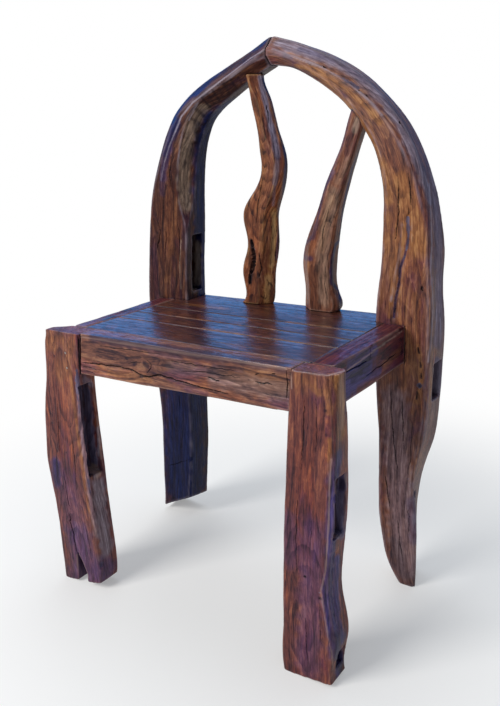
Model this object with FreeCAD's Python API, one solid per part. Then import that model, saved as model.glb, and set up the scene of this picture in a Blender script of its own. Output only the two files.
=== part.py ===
import FreeCAD, Part
import os
from FreeCAD import Vector

# A rustic side chair hewn from old timber. Two bent planks, each a rear leg and
# half of the back in one piece, meet at a point to form the arched back. Two
# plank legs stand in front, four rails join the legs, loose boards fill the
# seat and two crooked slats rise from it into the arch.
#
# Lengths are in millimetres. X runs to the right seen from the front, Y runs
# back and Z up. The chair is built about the middle of the front rail's face
# and is moved at the end, so that the origin is the bottom centre of its box.

# Driving dimensions of the whole chair
seat_height = 460.0          # floor to the top of the seat
back_rise = 440.0            # seat top to the arch's point
rail_span = 388.0            # front rail between the front legs
frame_depth = 266.0          # front rail's face to the arch's front face
arch_overhang = 43.0         # how far the arch stands out past a side rail
worn_edge = 2.5              # width of the worn corner along every hewn edge

# Front legs
leg_width = 75.0
leg_thickness = 39.0
leg_foot_thickness = 44.0
leg_proud = 5.0              # front face of a leg ahead of the front rail's face
leg_splay = 14.0             # how far the foot leans forward of the top
leg_top_drop = 0.5           # leg top below the seat top
leg_top_round = 20.0         # widest bevel on the outer corners of a leg's top

# Rails
rail_height = 61.0
front_rail_setback = 1.0     # rail's rear face ahead of the leg's rear face
front_rail_left_drop = 8.0   # extra depth of the front rail at its left end
side_rail_outset = 49.0      # outer face of a side rail past the front rail's end
right_rail_thickness = 35.0
left_rail_thickness = 26.0
left_rail_flare = 12.0       # extra thickness of the left rail at its rear end
rear_rail_thickness = 34.0
rear_rail_height = 39.0

# Arch
arch_thickness = 58.0
apex_thickness = 40.0
bevel_width = 19.0           # widest bevel along the arch's edges
sole_fall = 11.0             # fall of the left rear foot's sole towards the back

# Seat boards
board_thickness = 25.0
board_seam = 0.4
board_end_gap = 0.3
seat_rear_inset = 3.0        # seat's rear edge ahead of the arch's rear face
cleat_size = 20.0
cleat_end_gap = 4.0

# Slats
slat_width = 52.0
slat_thickness = 26.0
slat_setback = 24.0          # slat's front face behind the arch's front face, at the seat
slat_lean = 20.0             # how far the slat's top comes forward
slat_housing_gap = 0.3

# Joints
tenon_thickness = 14.0
tenon_depth = 28.0
front_tenon_depth = 44.0     # the front rail's tenons are longer
tenon_shoulder = 4.0         # height of the shoulder above or below a tenon
tenon_split = 6.0            # height between the upper and the lower tenon of a corner
joint_gap = 0.3
pin_radius = 1.8
pin_gap = 0.1
pin_length = 30.0
pin_inset = 34.0             # pins from the front rail's shoulder
slat_tenon_width = 30.0
slat_tenon_depth = 18.0      # length of a slat's tenon in the rear rail
tongue_length = 48.0
tongue_height = 16.0
tongue_thickness = 10.0
tongue_setback = 22.0        # middle of the tongue behind the arch's front face
screw_radius = 2.0
screw_head_radius = 3.8
screw_head_height = 2.5
screw_length = 34.0
screw_gap = 0.1
scribe = 8.0                 # length that a piece is cut long before it is scribed

# Old mortises left from the timber's earlier use
leg_pocket_depth = 38.0
left_leg_pocket_walls = (3.0, 8.0)       # in front of and behind a pocket
right_leg_pocket_walls = (3.0, 9.0)
right_foot_pocket_walls = (15.0, 5.0)
arch_pocket_depth = 36.0
left_arch_pocket_walls = (17.0, 13.0)
right_arch_pocket_walls = (20.0, 8.0)
split_depth = 26.0           # depth of the split in the left leg's foot
overrun = 20.0               # length by which a cutting solid passes a face

# Places that follow from the dimensions above
shoulder_x = rail_span / 2
side_rail_x = shoulder_x + side_rail_outset
arch_half_span = side_rail_x + arch_overhang
leg_back = leg_thickness - leg_proud
front_rail_thickness = leg_back - front_rail_setback
rail_bottom = seat_height - rail_height
arch_back = frame_depth + arch_thickness
board_bottom = seat_height - board_thickness
seat_rear = arch_back - seat_rear_inset
slat_front = frame_depth + slat_setback
rear_rail_middle = slat_front + slat_thickness / 2
upper_tenon = (board_bottom, seat_height - tenon_shoulder)
lower_tenon_top = board_bottom - tenon_split
right_tenon_foot = rail_bottom + tenon_shoulder
left_tenon_foot = right_tenon_foot - front_rail_left_drop

# Outline tables. A level share runs from 0 at the floor to 1 at the seat and
# on to 2 at the arch's point. Leg shares are of leg_width, outward from the
# front rail's shoulder. Arch shares are of arch_half_span, from the middle.

# level, inner edge, outer edge, bevels of the outer front and the outer rear
# corner (shares of leg_top_round)
left_leg_shares = [
    (0.13, -0.08, 1.18, 0.0, 0.0),
    (0.24, -0.03, 1.22, 0.0, 0.0),
    (0.34, 0.01, 1.29, 0.0, 0.0),
    (0.44, 0.04, 1.39, 0.0, 0.0),
    (0.50, 0.06, 1.42, 0.0, 0.0),
    (0.57, 0.09, 1.39, 0.0, 0.0),
    (0.66, 0.12, 1.34, 0.0, 0.1),
    (0.76, 0.14, 1.26, 0.0, 0.3),
    (0.87, 0.10, 1.16, 0.0, 0.7),
]
left_foot_shares = ((0.030, -0.05), (-0.006, 1.15))      # level and place of inner and outer corner
left_top_shares = (0.0, 1.04, 0.0, 1.0)
right_leg_shares = [
    (0.13, -0.165, 0.975, 0.0, 0.0),
    (0.24, -0.155, 0.93, 0.0, 0.0),
    (0.34, -0.150, 0.84, 0.0, 0.0),
    (0.45, -0.125, 0.88, 0.0, 0.0),
    (0.55, -0.115, 0.94, 0.0, 0.0),
    (0.66, -0.085, 0.95, 0.0, 0.0),
    (0.76, -0.050, 0.94, 0.0, 0.0),
    (0.87, -0.01, 0.93, 0.1, 0.1),
]
right_foot_shares = ((-0.004, -0.14), (0.012, 0.92))
right_top_shares = (0.07, 0.93, 0.6, 0.2)
splay_start_share = 0.85     # level below which the front legs splay
loft_degree = 3              # of the smooth surfaces through a leg's or a slat's sections
arch_loft_degree = 5

# outer edge (place, level), inner edge (place, level), the outer and the inner
# bevel and the inset of the outer rear edge (shares of bevel_width). The first
# section lies below the floor and the last one past the middle: both are cut off.
left_arch_shares = [
    ((1.004, -0.06), (0.768, -0.06), 0.0, 0.2, 0.0),
    ((1.000, 0.06), (0.752, 0.06), 0.0, 0.1, 0.0),
    ((0.991, 0.18), (0.735, 0.18), 0.0, 0.1, 0.0),
    ((0.979, 0.32), (0.712, 0.32), 0.0, 0.0, 0.0),
    ((0.967, 0.46), (0.702, 0.46), 0.0, 0.0, 0.0),
    ((0.982, 0.60), (0.696, 0.60), 0.0, 0.0, 0.0),
    ((0.997, 0.74), (0.686, 0.74), 0.0, 0.0, 0.0),
    ((1.002, 0.88), (0.670, 0.88), 0.0, 0.0, 0.0),
    ((0.999, 1.01), (0.660, 1.01), 0.0, 0.0, 0.0),
    ((0.977, 1.138), (0.648, 1.157), 0.0, 0.0, 0.0),
    ((0.956, 1.285), (0.626, 1.305), 0.1, 0.1, 0.0),
    ((0.934, 1.423), (0.608, 1.433), 0.4, 1.0, 0.0),
    ((0.894, 1.541), (0.584, 1.541), 0.8, 1.15, 0.0),
    ((0.812, 1.661), (0.550, 1.629), 0.9, 1.2, 0.0),
    ((0.713, 1.758), (0.500, 1.700), 0.9, 1.2, 0.0),
    ((0.562, 1.836), (0.424, 1.753), 0.9, 1.1, 0.0),
    ((0.391, 1.891), (0.312, 1.797), 0.9, 0.9, 0.0),
    ((0.224, 1.937), (0.187, 1.841), 1.0, 0.8, 0.0),
    ((0.080, 1.978), (0.068, 1.880), 1.0, 0.7, 0.0),
    ((-0.080, 2.022), (-0.068, 1.922), 1.0, 0.6, 0.0),
]
right_arch_shares = [
    ((0.940, -0.06), (0.900, -0.06), 0.1, 0.2, 0.9),
    ((0.942, 0.00), (0.830, 0.00), 0.1, 0.2, 1.2),
    ((0.944, 0.06), (0.770, 0.06), 0.1, 0.2, 1.25),
    ((0.945, 0.12), (0.741, 0.12), 0.1, 0.1, 1.25),
    ((0.945, 0.19), (0.720, 0.19), 0.1, 0.1, 1.25),
    ((0.941, 0.26), (0.707, 0.26), 0.1, 0.0, 1.15),
    ((0.930, 0.33), (0.702, 0.33), 0.1, 0.0, 0.8),
    ((0.915, 0.40), (0.700, 0.41), 0.1, 0.0, 0.35),
    ((0.926, 0.48), (0.699, 0.50), 0.1, 0.0, 0.0),
    ((0.954, 0.57), (0.694, 0.59), 0.1, 0.0, -0.2),
    ((0.976, 0.67), (0.684, 0.69), 0.1, 0.0, -0.15),
    ((0.988, 0.79), (0.675, 0.80), 0.1, 0.0, -0.1),
    ((0.993, 0.91), (0.670, 0.91), 0.1, 0.0, -0.15),
    ((0.992, 1.03), (0.673, 1.03), 0.1, 0.0, -0.1),
    ((0.985, 1.138), (0.689, 1.138), 0.1, 0.0, 0.0),
    ((0.976, 1.256), (0.704, 1.256), 0.1, 0.0, -0.15),
    ((0.961, 1.354), (0.706, 1.354), 0.1, 0.1, -0.1),
    ((0.936, 1.443), (0.698, 1.448), 0.25, 0.3, -0.1),
    ((0.893, 1.546), (0.673, 1.541), 0.45, 0.4, 0.0),
    ((0.817, 1.652), (0.621, 1.629), 0.6, 0.4, 0.0),
    ((0.722, 1.737), (0.541, 1.702), 0.65, 0.4, 0.0),
    ((0.564, 1.835), (0.442, 1.771), 0.7, 0.4, 0.0),
    ((0.392, 1.905), (0.317, 1.829), 0.75, 0.4, 0.0),
    ((0.230, 1.951), (0.193, 1.872), 0.8, 0.5, 0.0),
    ((0.080, 1.985), (0.068, 1.896), 0.9, 0.6, 0.0),
    ((-0.080, 2.013), (-0.068, 1.912), 0.9, 0.6, 0.0),
]
apex_shares = (1.902, 2.0)   # level of the arch's inner and outer point
left_foot_cut_shares = ((1.05, 0.004), (0.70, 0.114))    # front edge of the left rear foot's sole
thin_start_share = 1.31      # level above which the arch gets thinner

# level, centre (share of arch_half_span), width, left bevel and right bevel (shares of slat_width)
left_slat_shares = [
    (1.00, -0.200, 1.10, 0.08, 0.34),
    (1.09, -0.172, 1.09, 0.08, 0.36),
    (1.207, -0.139, 1.08, 0.06, 0.36),
    (1.315, -0.130, 1.14, 0.06, 0.30),
    (1.395, -0.115, 1.16, 0.06, 0.22),
    (1.445, -0.070, 1.00, 0.06, 0.16),
    (1.522, -0.018, 0.79, 0.05, 0.16),
    (1.571, -0.014, 0.79, 0.05, 0.20),
    (1.630, -0.027, 0.71, 0.05, 0.26),
    (1.718, -0.056, 0.58, 0.05, 0.26),
    (1.817, -0.093, 0.48, 0.05, 0.24),
    (1.876, -0.112, 0.47, 0.05, 0.24),
]
right_slat_shares = [
    (1.00, 0.252, 1.27, 0.36, 0.08),
    (1.05, 0.262, 1.35, 0.36, 0.08),
    (1.118, 0.247, 1.21, 0.36, 0.06),
    (1.197, 0.249, 1.25, 0.36, 0.06),
    (1.276, 0.279, 1.13, 0.30, 0.06),
    (1.354, 0.321, 0.90, 0.24, 0.06),
    (1.453, 0.376, 0.77, 0.18, 0.06),
    (1.551, 0.439, 0.64, 0.14, 0.06),
    (1.649, 0.502, 0.55, 0.12, 0.06),
    (1.748, 0.556, 0.52, 0.12, 0.06),
]
slat_top_share = 1.84        # level at which a slat's lean is complete
seam_shares = [0.267, 0.427, 0.594]     # seat seams, from the front rail to the rear edge
pin_level_shares = (0.12, 0.87)         # pins up the left tenon of the front rail
screw_place_shares = (0.1, 0.5, 0.9)
left_leg_pocket_shares = (0.46, 0.805)     # bottom and top level
right_leg_pocket_shares = (0.50, 0.692)
right_foot_pocket_shares = (0.045, 0.113)
left_arch_pocket_shares = (1.03, 1.27)
pocket_face_share = 0.66     # left arch's inner face beside its pocket
right_arch_pocket_shares = (0.728, 0.865)
split_shares = [
    (0.25, 0.77),
    (0.13, 0.635),
    (0.096, 0.479),
    (0.049, 0.353),
    (-0.02, 0.34),
    (-0.02, 0.68),
    (0.01, 0.68),
    (0.13, 0.66),
]


def level(share):
    """Height of a level share: 0 is the floor, 1 the seat and 2 the arch's point."""
    if share <= 1:
        return share * seat_height
    return seat_height + (share - 1) * back_rise


def block(x, y, z):
    """Box between two places along each axis, given in either order."""
    low = Vector(min(x), min(y), min(z))
    return Part.makeBox(max(x) - low.x, max(y) - low.y, max(z) - low.z, low)


def prism(points, y_from, y_to):
    """Solid of an XZ outline between two places along Y."""
    corners = [Vector(x, y_from, z) for x, z in points]
    wire = Part.makePolygon(corners + corners[:1])
    return Part.Face(wire).extrude(Vector(0, y_to - y_from, 0))


def solid_of(shape):
    """The largest solid of a shape, which drops offcuts past a scribed joint."""
    return max(shape.Solids, key=lambda solid: solid.Volume)


def scribed(shape, *against):
    """Piece cut to the faces of the timbers that it butts on."""
    for timber_shape in against:
        shape = shape.cut(timber_shape)
    return solid_of(shape)


def above(leg):
    """Space over a leg's top, which a rail that butts on the leg leaves free."""
    top = max(leg.Faces, key=lambda face: face.CenterOfMass.z)
    return top.extrude(Vector(0, 0, leg_top_drop + overrun))


def hewn_section(outer, inner, front, back, bevels, rear_inset):
    """Closed wire across a timber. outer and inner are its edges as (x, z), and the
    bevels are those of the outer front, the inner front and the outer rear edge.
    rear_inset moves the outer rear edge inward, so that the outer face slants."""
    outer = Vector(outer[0], 0, outer[1])
    inner = Vector(inner[0], 0, inner[1])
    across = (outer - inner).normalize()
    outer_front, inner_front, outer_rear = [worn_edge + bevel for bevel in bevels]
    rear_corner = rear_inset + outer_rear

    def at(edge, inset, y):
        return edge + across * inset + Vector(0, y, 0)

    corners = [
        at(outer, 0, front + outer_front),
        at(outer, -outer_front, front),
        at(inner, inner_front, front),
        at(inner, 0, front + inner_front),
        at(inner, 0, back - worn_edge),
        at(inner, worn_edge, back),
        at(outer, -rear_corner, back),
        at(outer, -rear_inset, back - outer_rear),
    ]
    return Part.makePolygon(corners + corners[:1])


def timber(sections, degree):
    """Smooth solid through the sections, cut level at the floor."""
    shape = Part.makeLoft(sections, True, False, False, degree)
    solid = solid_of(shape)
    if solid.Volume < 0:
        solid.reverse()
    ground = block((-2 * arch_half_span, 2 * arch_half_span), (-arch_back, 2 * arch_back), (-seat_height, 0))
    return solid_of(solid.cut(ground))


def leg_faces(share):
    """Front and rear face of a front leg at a level."""
    lean = max(0, (splay_start_share - share) / splay_start_share)
    front = -leg_proud - leg_splay * lean
    return front, front + leg_thickness + (leg_foot_thickness - leg_thickness) * lean


def front_leg(side, foot_shares, shares, top_shares):
    """Plank leg. side is -1 on the left and 1 on the right."""
    def place(share):
        return side * (shoulder_x + share * leg_width)

    front, back = leg_faces(0)
    inner, outer = [(place(x), level(z)) for z, x in foot_shares]
    sections = [hewn_section(outer, inner, front, back, (0, 0, 0), 0)]
    for share, inner_share, outer_share, front_round, rear_round in shares:
        front, back = leg_faces(share)
        outer = (place(outer_share), level(share))
        inner = (place(inner_share), level(share))
        bevels = (front_round * leg_top_round, 0, rear_round * leg_top_round)
        sections.append(hewn_section(outer, inner, front, back, bevels, 0))
    inner_share, outer_share, front_round, rear_round = top_shares
    front, back = leg_faces(1)
    inner, outer = [(place(x), seat_height - leg_top_drop) for x in (inner_share, outer_share)]
    bevels = (front_round * leg_top_round, 0, rear_round * leg_top_round)
    sections.append(hewn_section(outer, inner, front, back, bevels, 0))
    return timber(sections, loft_degree)


def arch_thickness_at(share):
    """Thickness of the arch at a level, thinner towards the point."""
    thin = min(1, max(0, (share - thin_start_share) / (2 - thin_start_share)))
    return arch_thickness + (apex_thickness - arch_thickness) * thin


def arch_half(side, shares):
    """Rear leg and half of the pointed arch, in one bent plank."""
    sections = []
    for outer, inner, outer_bevel, inner_bevel, inset in shares:
        thickness = arch_thickness_at((outer[1] + inner[1]) / 2)
        edges = [(side * x * arch_half_span, level(z)) for x, z in (outer, inner)]
        bevels = (outer_bevel * bevel_width, inner_bevel * bevel_width, 0)
        back = frame_depth + thickness
        sections.append(hewn_section(*edges, frame_depth, back, bevels, inset * bevel_width))
    past_middle = block((0, -side * arch_half_span), (0, 2 * arch_back), (0, 2 * level(2)))
    return solid_of(timber(sections, arch_loft_degree).cut(past_middle))


def below_sole(shares):
    """Solid under the slanting sole of the left rear foot. shares are the outer and
    the inner end of the sole's front edge, and the sole falls towards the back."""
    outlines = []
    for y in (frame_depth - overrun, arch_back + overrun):
        fall = sole_fall * (y - frame_depth) / arch_thickness
        edge = [(-x * arch_half_span, level(z) - fall) for x, z in shares]
        outline = edge + [(edge[1][0], -overrun), (edge[0][0], -overrun)]
        corners = [Vector(x, y, z) for x, z in outline]
        outlines.append(Part.makePolygon(corners + corners[:1]))
    return Part.makeLoft(outlines, True, True)


def back_slat(shares, extra):
    """Crooked slat from the seat up into the arch, grown by extra all round."""
    sections = []
    for share, centre, width, left_bevel, right_bevel in shares:
        lean = slat_lean * (share - 1) / (slat_top_share - 1)
        front = slat_front - lean - extra
        half = width * slat_width / 2 + extra
        left = (centre * arch_half_span - half, level(share))
        right = (centre * arch_half_span + half, level(share))
        bevels = (right_bevel * slat_width, left_bevel * slat_width, 0)
        sections.append(hewn_section(right, left, front, front + slat_thickness + 2 * extra, bevels, 0))
    return timber(sections, loft_degree)


def pocket(x_face, depth, walls, faces, shares):
    """Old mortise cut from a side face inward. depth is signed: it points from the
    face into the timber. walls are what stays in front of and behind it, and faces
    gives the timber's front and rear face at a level."""
    low, high = shares
    corners = []
    for share, ends in ((low, (0, 1)), (high, (1, 0))):
        front, back = faces(share)
        sides = (front + walls[0], back - walls[1])
        corners += [Vector(x_face - depth / abs(depth) * overrun, sides[end], level(share)) for end in ends]
    mouth = Part.Face(Part.makePolygon(corners + corners[:1]))
    return mouth.extrude(Vector(depth + depth / abs(depth) * overrun, 0, 0))


def arch_faces(share):
    """Front and rear face of the arch at a level."""
    return frame_depth, frame_depth + arch_thickness_at(share)


def tenon_pair(x, y, z):
    """A tenon and the mortise that takes it with the joint's gap all round."""
    def wider(pair):
        return (min(pair) - joint_gap, max(pair) + joint_gap)
    return block(x, y, z), block(wider(x), wider(y), wider(z))


def pin_pair(start, direction, length):
    """A pin and the blind hole that it fills."""
    pin = Part.makeCylinder(pin_radius, length, start, direction)
    mouth = start - direction * overrun
    hole = Part.makeCylinder(pin_radius + pin_gap, overrun + length + pin_gap, mouth, direction)
    return pin, hole


parts = {}

# Timbers, before their joints are cut
left_leg = front_leg(-1, left_foot_shares, left_leg_shares, left_top_shares)
right_leg = front_leg(1, right_foot_shares, right_leg_shares, right_top_shares)
left_arch = arch_half(-1, left_arch_shares)
left_arch = solid_of(left_arch.cut(below_sole(left_foot_cut_shares)))
right_arch = arch_half(1, right_arch_shares)
left_slat = back_slat(left_slat_shares, 0)
right_slat = back_slat(right_slat_shares, 0)
timbers = {"left_leg": left_leg, "right_leg": right_leg, "left_arch": left_arch, "right_arch": right_arch}

# Rails, cut long and scribed to the legs and the arch
left_end = -shoulder_x - leg_width / 2
right_end = shoulder_x + leg_width / 2
front_outline = [
    (left_end, rail_bottom - front_rail_left_drop),
    (right_end, rail_bottom),
    (right_end, seat_height),
    (left_end, seat_height),
]
front_rail = prism(front_outline, 0, front_rail_thickness)
front_rail = scribed(front_rail, left_leg, right_leg, above(left_leg), above(right_leg))
right_rail_inner = side_rail_x - right_rail_thickness
right_rail = block((right_rail_inner, side_rail_x), (leg_back - scribe, frame_depth + scribe),
                   (rail_bottom, seat_height))
right_rail = scribed(right_rail, right_leg, right_arch, above(right_leg))
left_rail_inner = -side_rail_x + left_rail_thickness
left_rail_plan = [
    Vector(left_rail_inner, leg_back - scribe, rail_bottom),
    Vector(-side_rail_x, leg_back - scribe, rail_bottom),
    Vector(-side_rail_x - left_rail_flare, frame_depth + scribe, rail_bottom),
    Vector(left_rail_inner, frame_depth + scribe, rail_bottom),
]
left_rail = Part.Face(Part.makePolygon(left_rail_plan + left_rail_plan[:1]))
left_rail = scribed(left_rail.extrude(Vector(0, 0, rail_height)), left_leg, left_arch, above(left_leg))
rear_half = rear_rail_thickness / 2
rear_rail_y = (rear_rail_middle - rear_half, rear_rail_middle + rear_half)
rear_rail_bottom = board_bottom - rear_rail_height
rear_rail = block((-shoulder_x - scribe, shoulder_x + scribe), rear_rail_y, (rear_rail_bottom, board_bottom))
rear_rail = scribed(rear_rail, left_arch, right_arch)

# Tenons. The side rails' tenons lie high and those of the front and rear rail
# low, so that the two in one corner pass each other.
for side, name in ((-1, "left"), (1, "right")):
    leg = name + "_leg"
    arch = name + "_arch"
    tenon_y = (front_rail_thickness / 2 - tenon_thickness / 2, front_rail_thickness / 2 + tenon_thickness / 2)
    lower_tenon_foot = left_tenon_foot if side < 0 else right_tenon_foot
    tenon, mortise = tenon_pair((side * (shoulder_x - scribe), side * (shoulder_x + front_tenon_depth)),
                                tenon_y, (lower_tenon_foot, lower_tenon_top))
    front_rail = front_rail.fuse(tenon)
    timbers[leg] = timbers[leg].cut(mortise)

    rear_y = (rear_rail_middle - tenon_thickness / 2, rear_rail_middle + tenon_thickness / 2)
    tenon, mortise = tenon_pair((side * (shoulder_x - 2 * scribe), side * (shoulder_x + tenon_depth)),
                                rear_y, (rear_rail_bottom + tenon_shoulder, lower_tenon_top))
    rear_rail = rear_rail.fuse(tenon)
    timbers[arch] = timbers[arch].cut(mortise)

    inner_face = abs(left_rail_inner if side < 0 else right_rail_inner)
    middle = side * (inner_face + side_rail_x) / 2
    tenon_x = (middle - tenon_thickness / 2, middle + tenon_thickness / 2)
    front_tenon, front_mortise = tenon_pair(tenon_x, (leg_back - tenon_depth + scribe, leg_back + scribe),
                                            upper_tenon)
    rear_tenon, rear_mortise = tenon_pair(tenon_x, (frame_depth - scribe, frame_depth + tenon_depth),
                                          upper_tenon)
    if side < 0:
        left_rail = left_rail.fuse([front_tenon, rear_tenon])
    else:
        right_rail = right_rail.fuse([front_tenon, rear_tenon])
    timbers[leg] = timbers[leg].cut(front_mortise)
    timbers[arch] = timbers[arch].cut(rear_mortise)

# Slats. Each foot has a tenon through the rear board into the rear rail, and
# each top is let into the arch.
slat_tenons = []
slat_mortises = []
tenon_top = seat_height + scribe
tenon_foot = board_bottom - slat_tenon_depth
tenon_y = (rear_rail_middle - tenon_thickness / 2, rear_rail_middle + tenon_thickness / 2)
for shares, arch in ((left_slat_shares, "left_arch"), (right_slat_shares, "right_arch")):
    foot_x = shares[0][1] * arch_half_span
    tenon_x = (foot_x - slat_tenon_width / 2, foot_x + slat_tenon_width / 2)
    tenon, mortise = tenon_pair(tenon_x, tenon_y, (tenon_foot, tenon_top))
    slat_tenons.append(tenon)
    slat_mortises.append(mortise)
    rear_rail = rear_rail.cut(mortise)
    timbers[arch] = solid_of(timbers[arch].cut(back_slat(shares, slat_housing_gap)))
left_slat = left_slat.fuse(slat_tenons[0])
right_slat = right_slat.fuse(slat_tenons[1])

# Loose tongue across the joint at the arch's point
tongue_y = frame_depth + tongue_setback
tongue_z = (level(apex_shares[0]) + level(apex_shares[1])) / 2
tongue, tongue_slot = tenon_pair(
    (-tongue_length / 2, tongue_length / 2),
    (tongue_y - tongue_thickness / 2, tongue_y + tongue_thickness / 2),
    (tongue_z - tongue_height / 2, tongue_z + tongue_height / 2),
)
for arch in ("left_arch", "right_arch"):
    timbers[arch] = timbers[arch].cut(tongue_slot)

# Old mortises, and the split in the left foot
leg_outer_x = shoulder_x + right_leg_shares[-1][2] * leg_width
left_arch_inner = -pocket_face_share * arch_half_span
leg_mortises = [
    ("left_leg", -shoulder_x, -leg_pocket_depth, left_leg_pocket_walls, left_leg_pocket_shares),
    ("right_leg", leg_outer_x, -leg_pocket_depth, right_leg_pocket_walls, right_leg_pocket_shares),
    ("right_leg", leg_outer_x, -leg_pocket_depth, right_foot_pocket_walls, right_foot_pocket_shares),
]
arch_mortises = [
    ("left_arch", left_arch_inner, -arch_pocket_depth, left_arch_pocket_walls, left_arch_pocket_shares),
    ("right_arch", arch_half_span, -arch_pocket_depth, right_arch_pocket_walls, right_arch_pocket_shares),
]
for mortises, faces in ((leg_mortises, leg_faces), (arch_mortises, arch_faces)):
    for name, x_face, depth, walls, shares in mortises:
        timbers[name] = timbers[name].cut(pocket(x_face, depth, walls, faces, shares))
split = [(-shoulder_x - x * leg_width, level(z)) for z, x in split_shares]
split_front = -leg_proud - leg_splay
split_cut = prism(split, split_front - overrun, split_front + split_depth)
timbers["left_leg"] = solid_of(timbers["left_leg"].cut(split_cut))

# Seat boards between the rails, the rear one scribed round the arch
seat_front = front_rail_thickness + board_seam
seams = [seat_front + share * (seat_rear - seat_front) for share in seam_shares]
board_x = (left_rail_inner + board_end_gap, right_rail_inner - board_end_gap)
board_edges = [seat_front] + seams + [seat_rear + board_seam]
board_z = (board_bottom, seat_height)
for index in range(len(board_edges) - 1):
    board = block(board_x, (board_edges[index], board_edges[index + 1] - board_seam), board_z)
    board = scribed(board, left_arch, right_arch)
    for mortise in slat_mortises:
        board = board.cut(mortise)
    parts["seat_board_%d" % (index + 1)] = board

# Cleats under the ends of the boards, screwed to the side rails
screws = []
cleat_y = (seat_front + cleat_end_gap, frame_depth - cleat_end_gap)
screw_level = board_bottom - cleat_size / 2
for side, name, rail_face in ((-1, "left", left_rail_inner), (1, "right", right_rail_inner)):
    cleat_x = (rail_face, rail_face - side * cleat_size)
    cleat = block(cleat_x, cleat_y, (board_bottom - cleat_size, board_bottom))
    for share in screw_place_shares:
        start = Vector(cleat_x[1], cleat_y[0] + share * (cleat_y[1] - cleat_y[0]), screw_level)
        along = Vector(side, 0, 0)
        solids = []
        for gap in (0, screw_gap):
            head = Part.makeCone(screw_head_radius + gap, screw_radius + gap, screw_head_height, start, along)
            shank = Part.makeCylinder(screw_radius + gap, screw_length + gap, start, along)
            solids.append(head.fuse(shank))
        screws.append(solids[0])
        cleat = cleat.cut(solids[1])
        if side < 0:
            left_rail = left_rail.cut(solids[1])
        else:
            right_rail = right_rail.cut(solids[1])
    parts[name + "_seat_cleat"] = cleat

# Pins through the front of the left leg into the front rail's tenon
pins = []
for share in pin_level_shares:
    pin_level = left_tenon_foot + share * (lower_tenon_top - left_tenon_foot)
    start = Vector(-shoulder_x - pin_inset, -leg_proud, pin_level)
    pin, hole = pin_pair(start, Vector(0, 1, 0), pin_length)
    pins.append(pin)
    front_rail = front_rail.cut(hole)
    timbers["left_leg"] = timbers["left_leg"].cut(hole)

parts["left_front_leg"] = timbers["left_leg"]
parts["right_front_leg"] = timbers["right_leg"]
parts["left_arch_half"] = timbers["left_arch"]
parts["right_arch_half"] = timbers["right_arch"]
parts["front_rail"] = front_rail
parts["rear_rail"] = rear_rail
parts["left_side_rail"] = left_rail
parts["right_side_rail"] = right_rail
parts["left_back_slat"] = left_slat
parts["right_back_slat"] = right_slat
parts["apex_tongue"] = tongue
parts["front_rail_pins"] = Part.makeCompound(pins)
parts["cleat_screws"] = Part.makeCompound(screws)

# The origin goes to the bottom centre of the chair's box
box = Part.makeCompound(list(parts.values())).optimalBoundingBox(False, False)
shift = Vector(-(box.XMin + box.XMax) / 2, -(box.YMin + box.YMax) / 2, -box.ZMin)
os.makedirs("parts", exist_ok=True)
for name, shape in parts.items():
    shape.translate(shift)
    shape.exportStep("parts/%s.step" % name)
    state = "valid" if shape.isValid() else "NOT VALID"
    print(name, len(shape.Solids), state, round(shape.Volume / 1000, 1), "cm3")
print("box", round(box.XLength, 1), round(box.YLength, 1), round(box.ZLength, 1), "shift", shift)
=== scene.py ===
import math
import bmesh
import bpy
import numpy as np
from mathutils import Matrix, Vector
from mathutils.bvhtree import BVHTree


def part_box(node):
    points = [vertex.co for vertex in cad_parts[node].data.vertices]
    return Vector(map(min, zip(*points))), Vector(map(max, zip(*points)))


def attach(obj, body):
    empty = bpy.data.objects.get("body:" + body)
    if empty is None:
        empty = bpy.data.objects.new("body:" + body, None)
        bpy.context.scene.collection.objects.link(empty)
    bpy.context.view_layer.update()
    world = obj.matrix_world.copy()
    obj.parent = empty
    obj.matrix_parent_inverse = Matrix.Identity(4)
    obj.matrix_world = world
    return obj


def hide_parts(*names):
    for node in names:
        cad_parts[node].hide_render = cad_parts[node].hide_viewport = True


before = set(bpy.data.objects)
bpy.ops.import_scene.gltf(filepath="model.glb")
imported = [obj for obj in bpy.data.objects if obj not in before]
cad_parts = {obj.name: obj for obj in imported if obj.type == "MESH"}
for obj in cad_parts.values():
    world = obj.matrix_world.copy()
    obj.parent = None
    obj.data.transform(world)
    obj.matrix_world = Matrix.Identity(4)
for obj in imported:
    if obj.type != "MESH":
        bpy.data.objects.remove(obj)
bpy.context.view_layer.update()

# A rustic chair of old hewn timber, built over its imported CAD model. Each
# timber starts from its CAD node's mesh, is remeshed evenly, and then gets its
# hewn waviness, cracks, knots and worn edges as real shape. Places that are
# given as picture points are cast from the camera onto the timber.

PICTURE_WIDTH = 500
PICTURE_HEIGHT = 706
FOCAL_PIXELS = 738.442
SENSOR = 36.0
MM = 0.001

# The chair's own frame: the middle of the front rail's face, at the floor
rail_low, rail_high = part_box("front_rail")
ORIGIN = Vector(((rail_low.x + rail_high.x) / 2, rail_low.y, 0))


def place(x, y, z):
    """A point given in millimetres about the middle of the front rail's face."""
    return Vector((x, y, z)) * MM + ORIGIN


def show(name, data):
    """A new object in the scene."""
    made = bpy.data.objects.new(name, data)
    bpy.context.scene.collection.objects.link(made)
    return made


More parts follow.
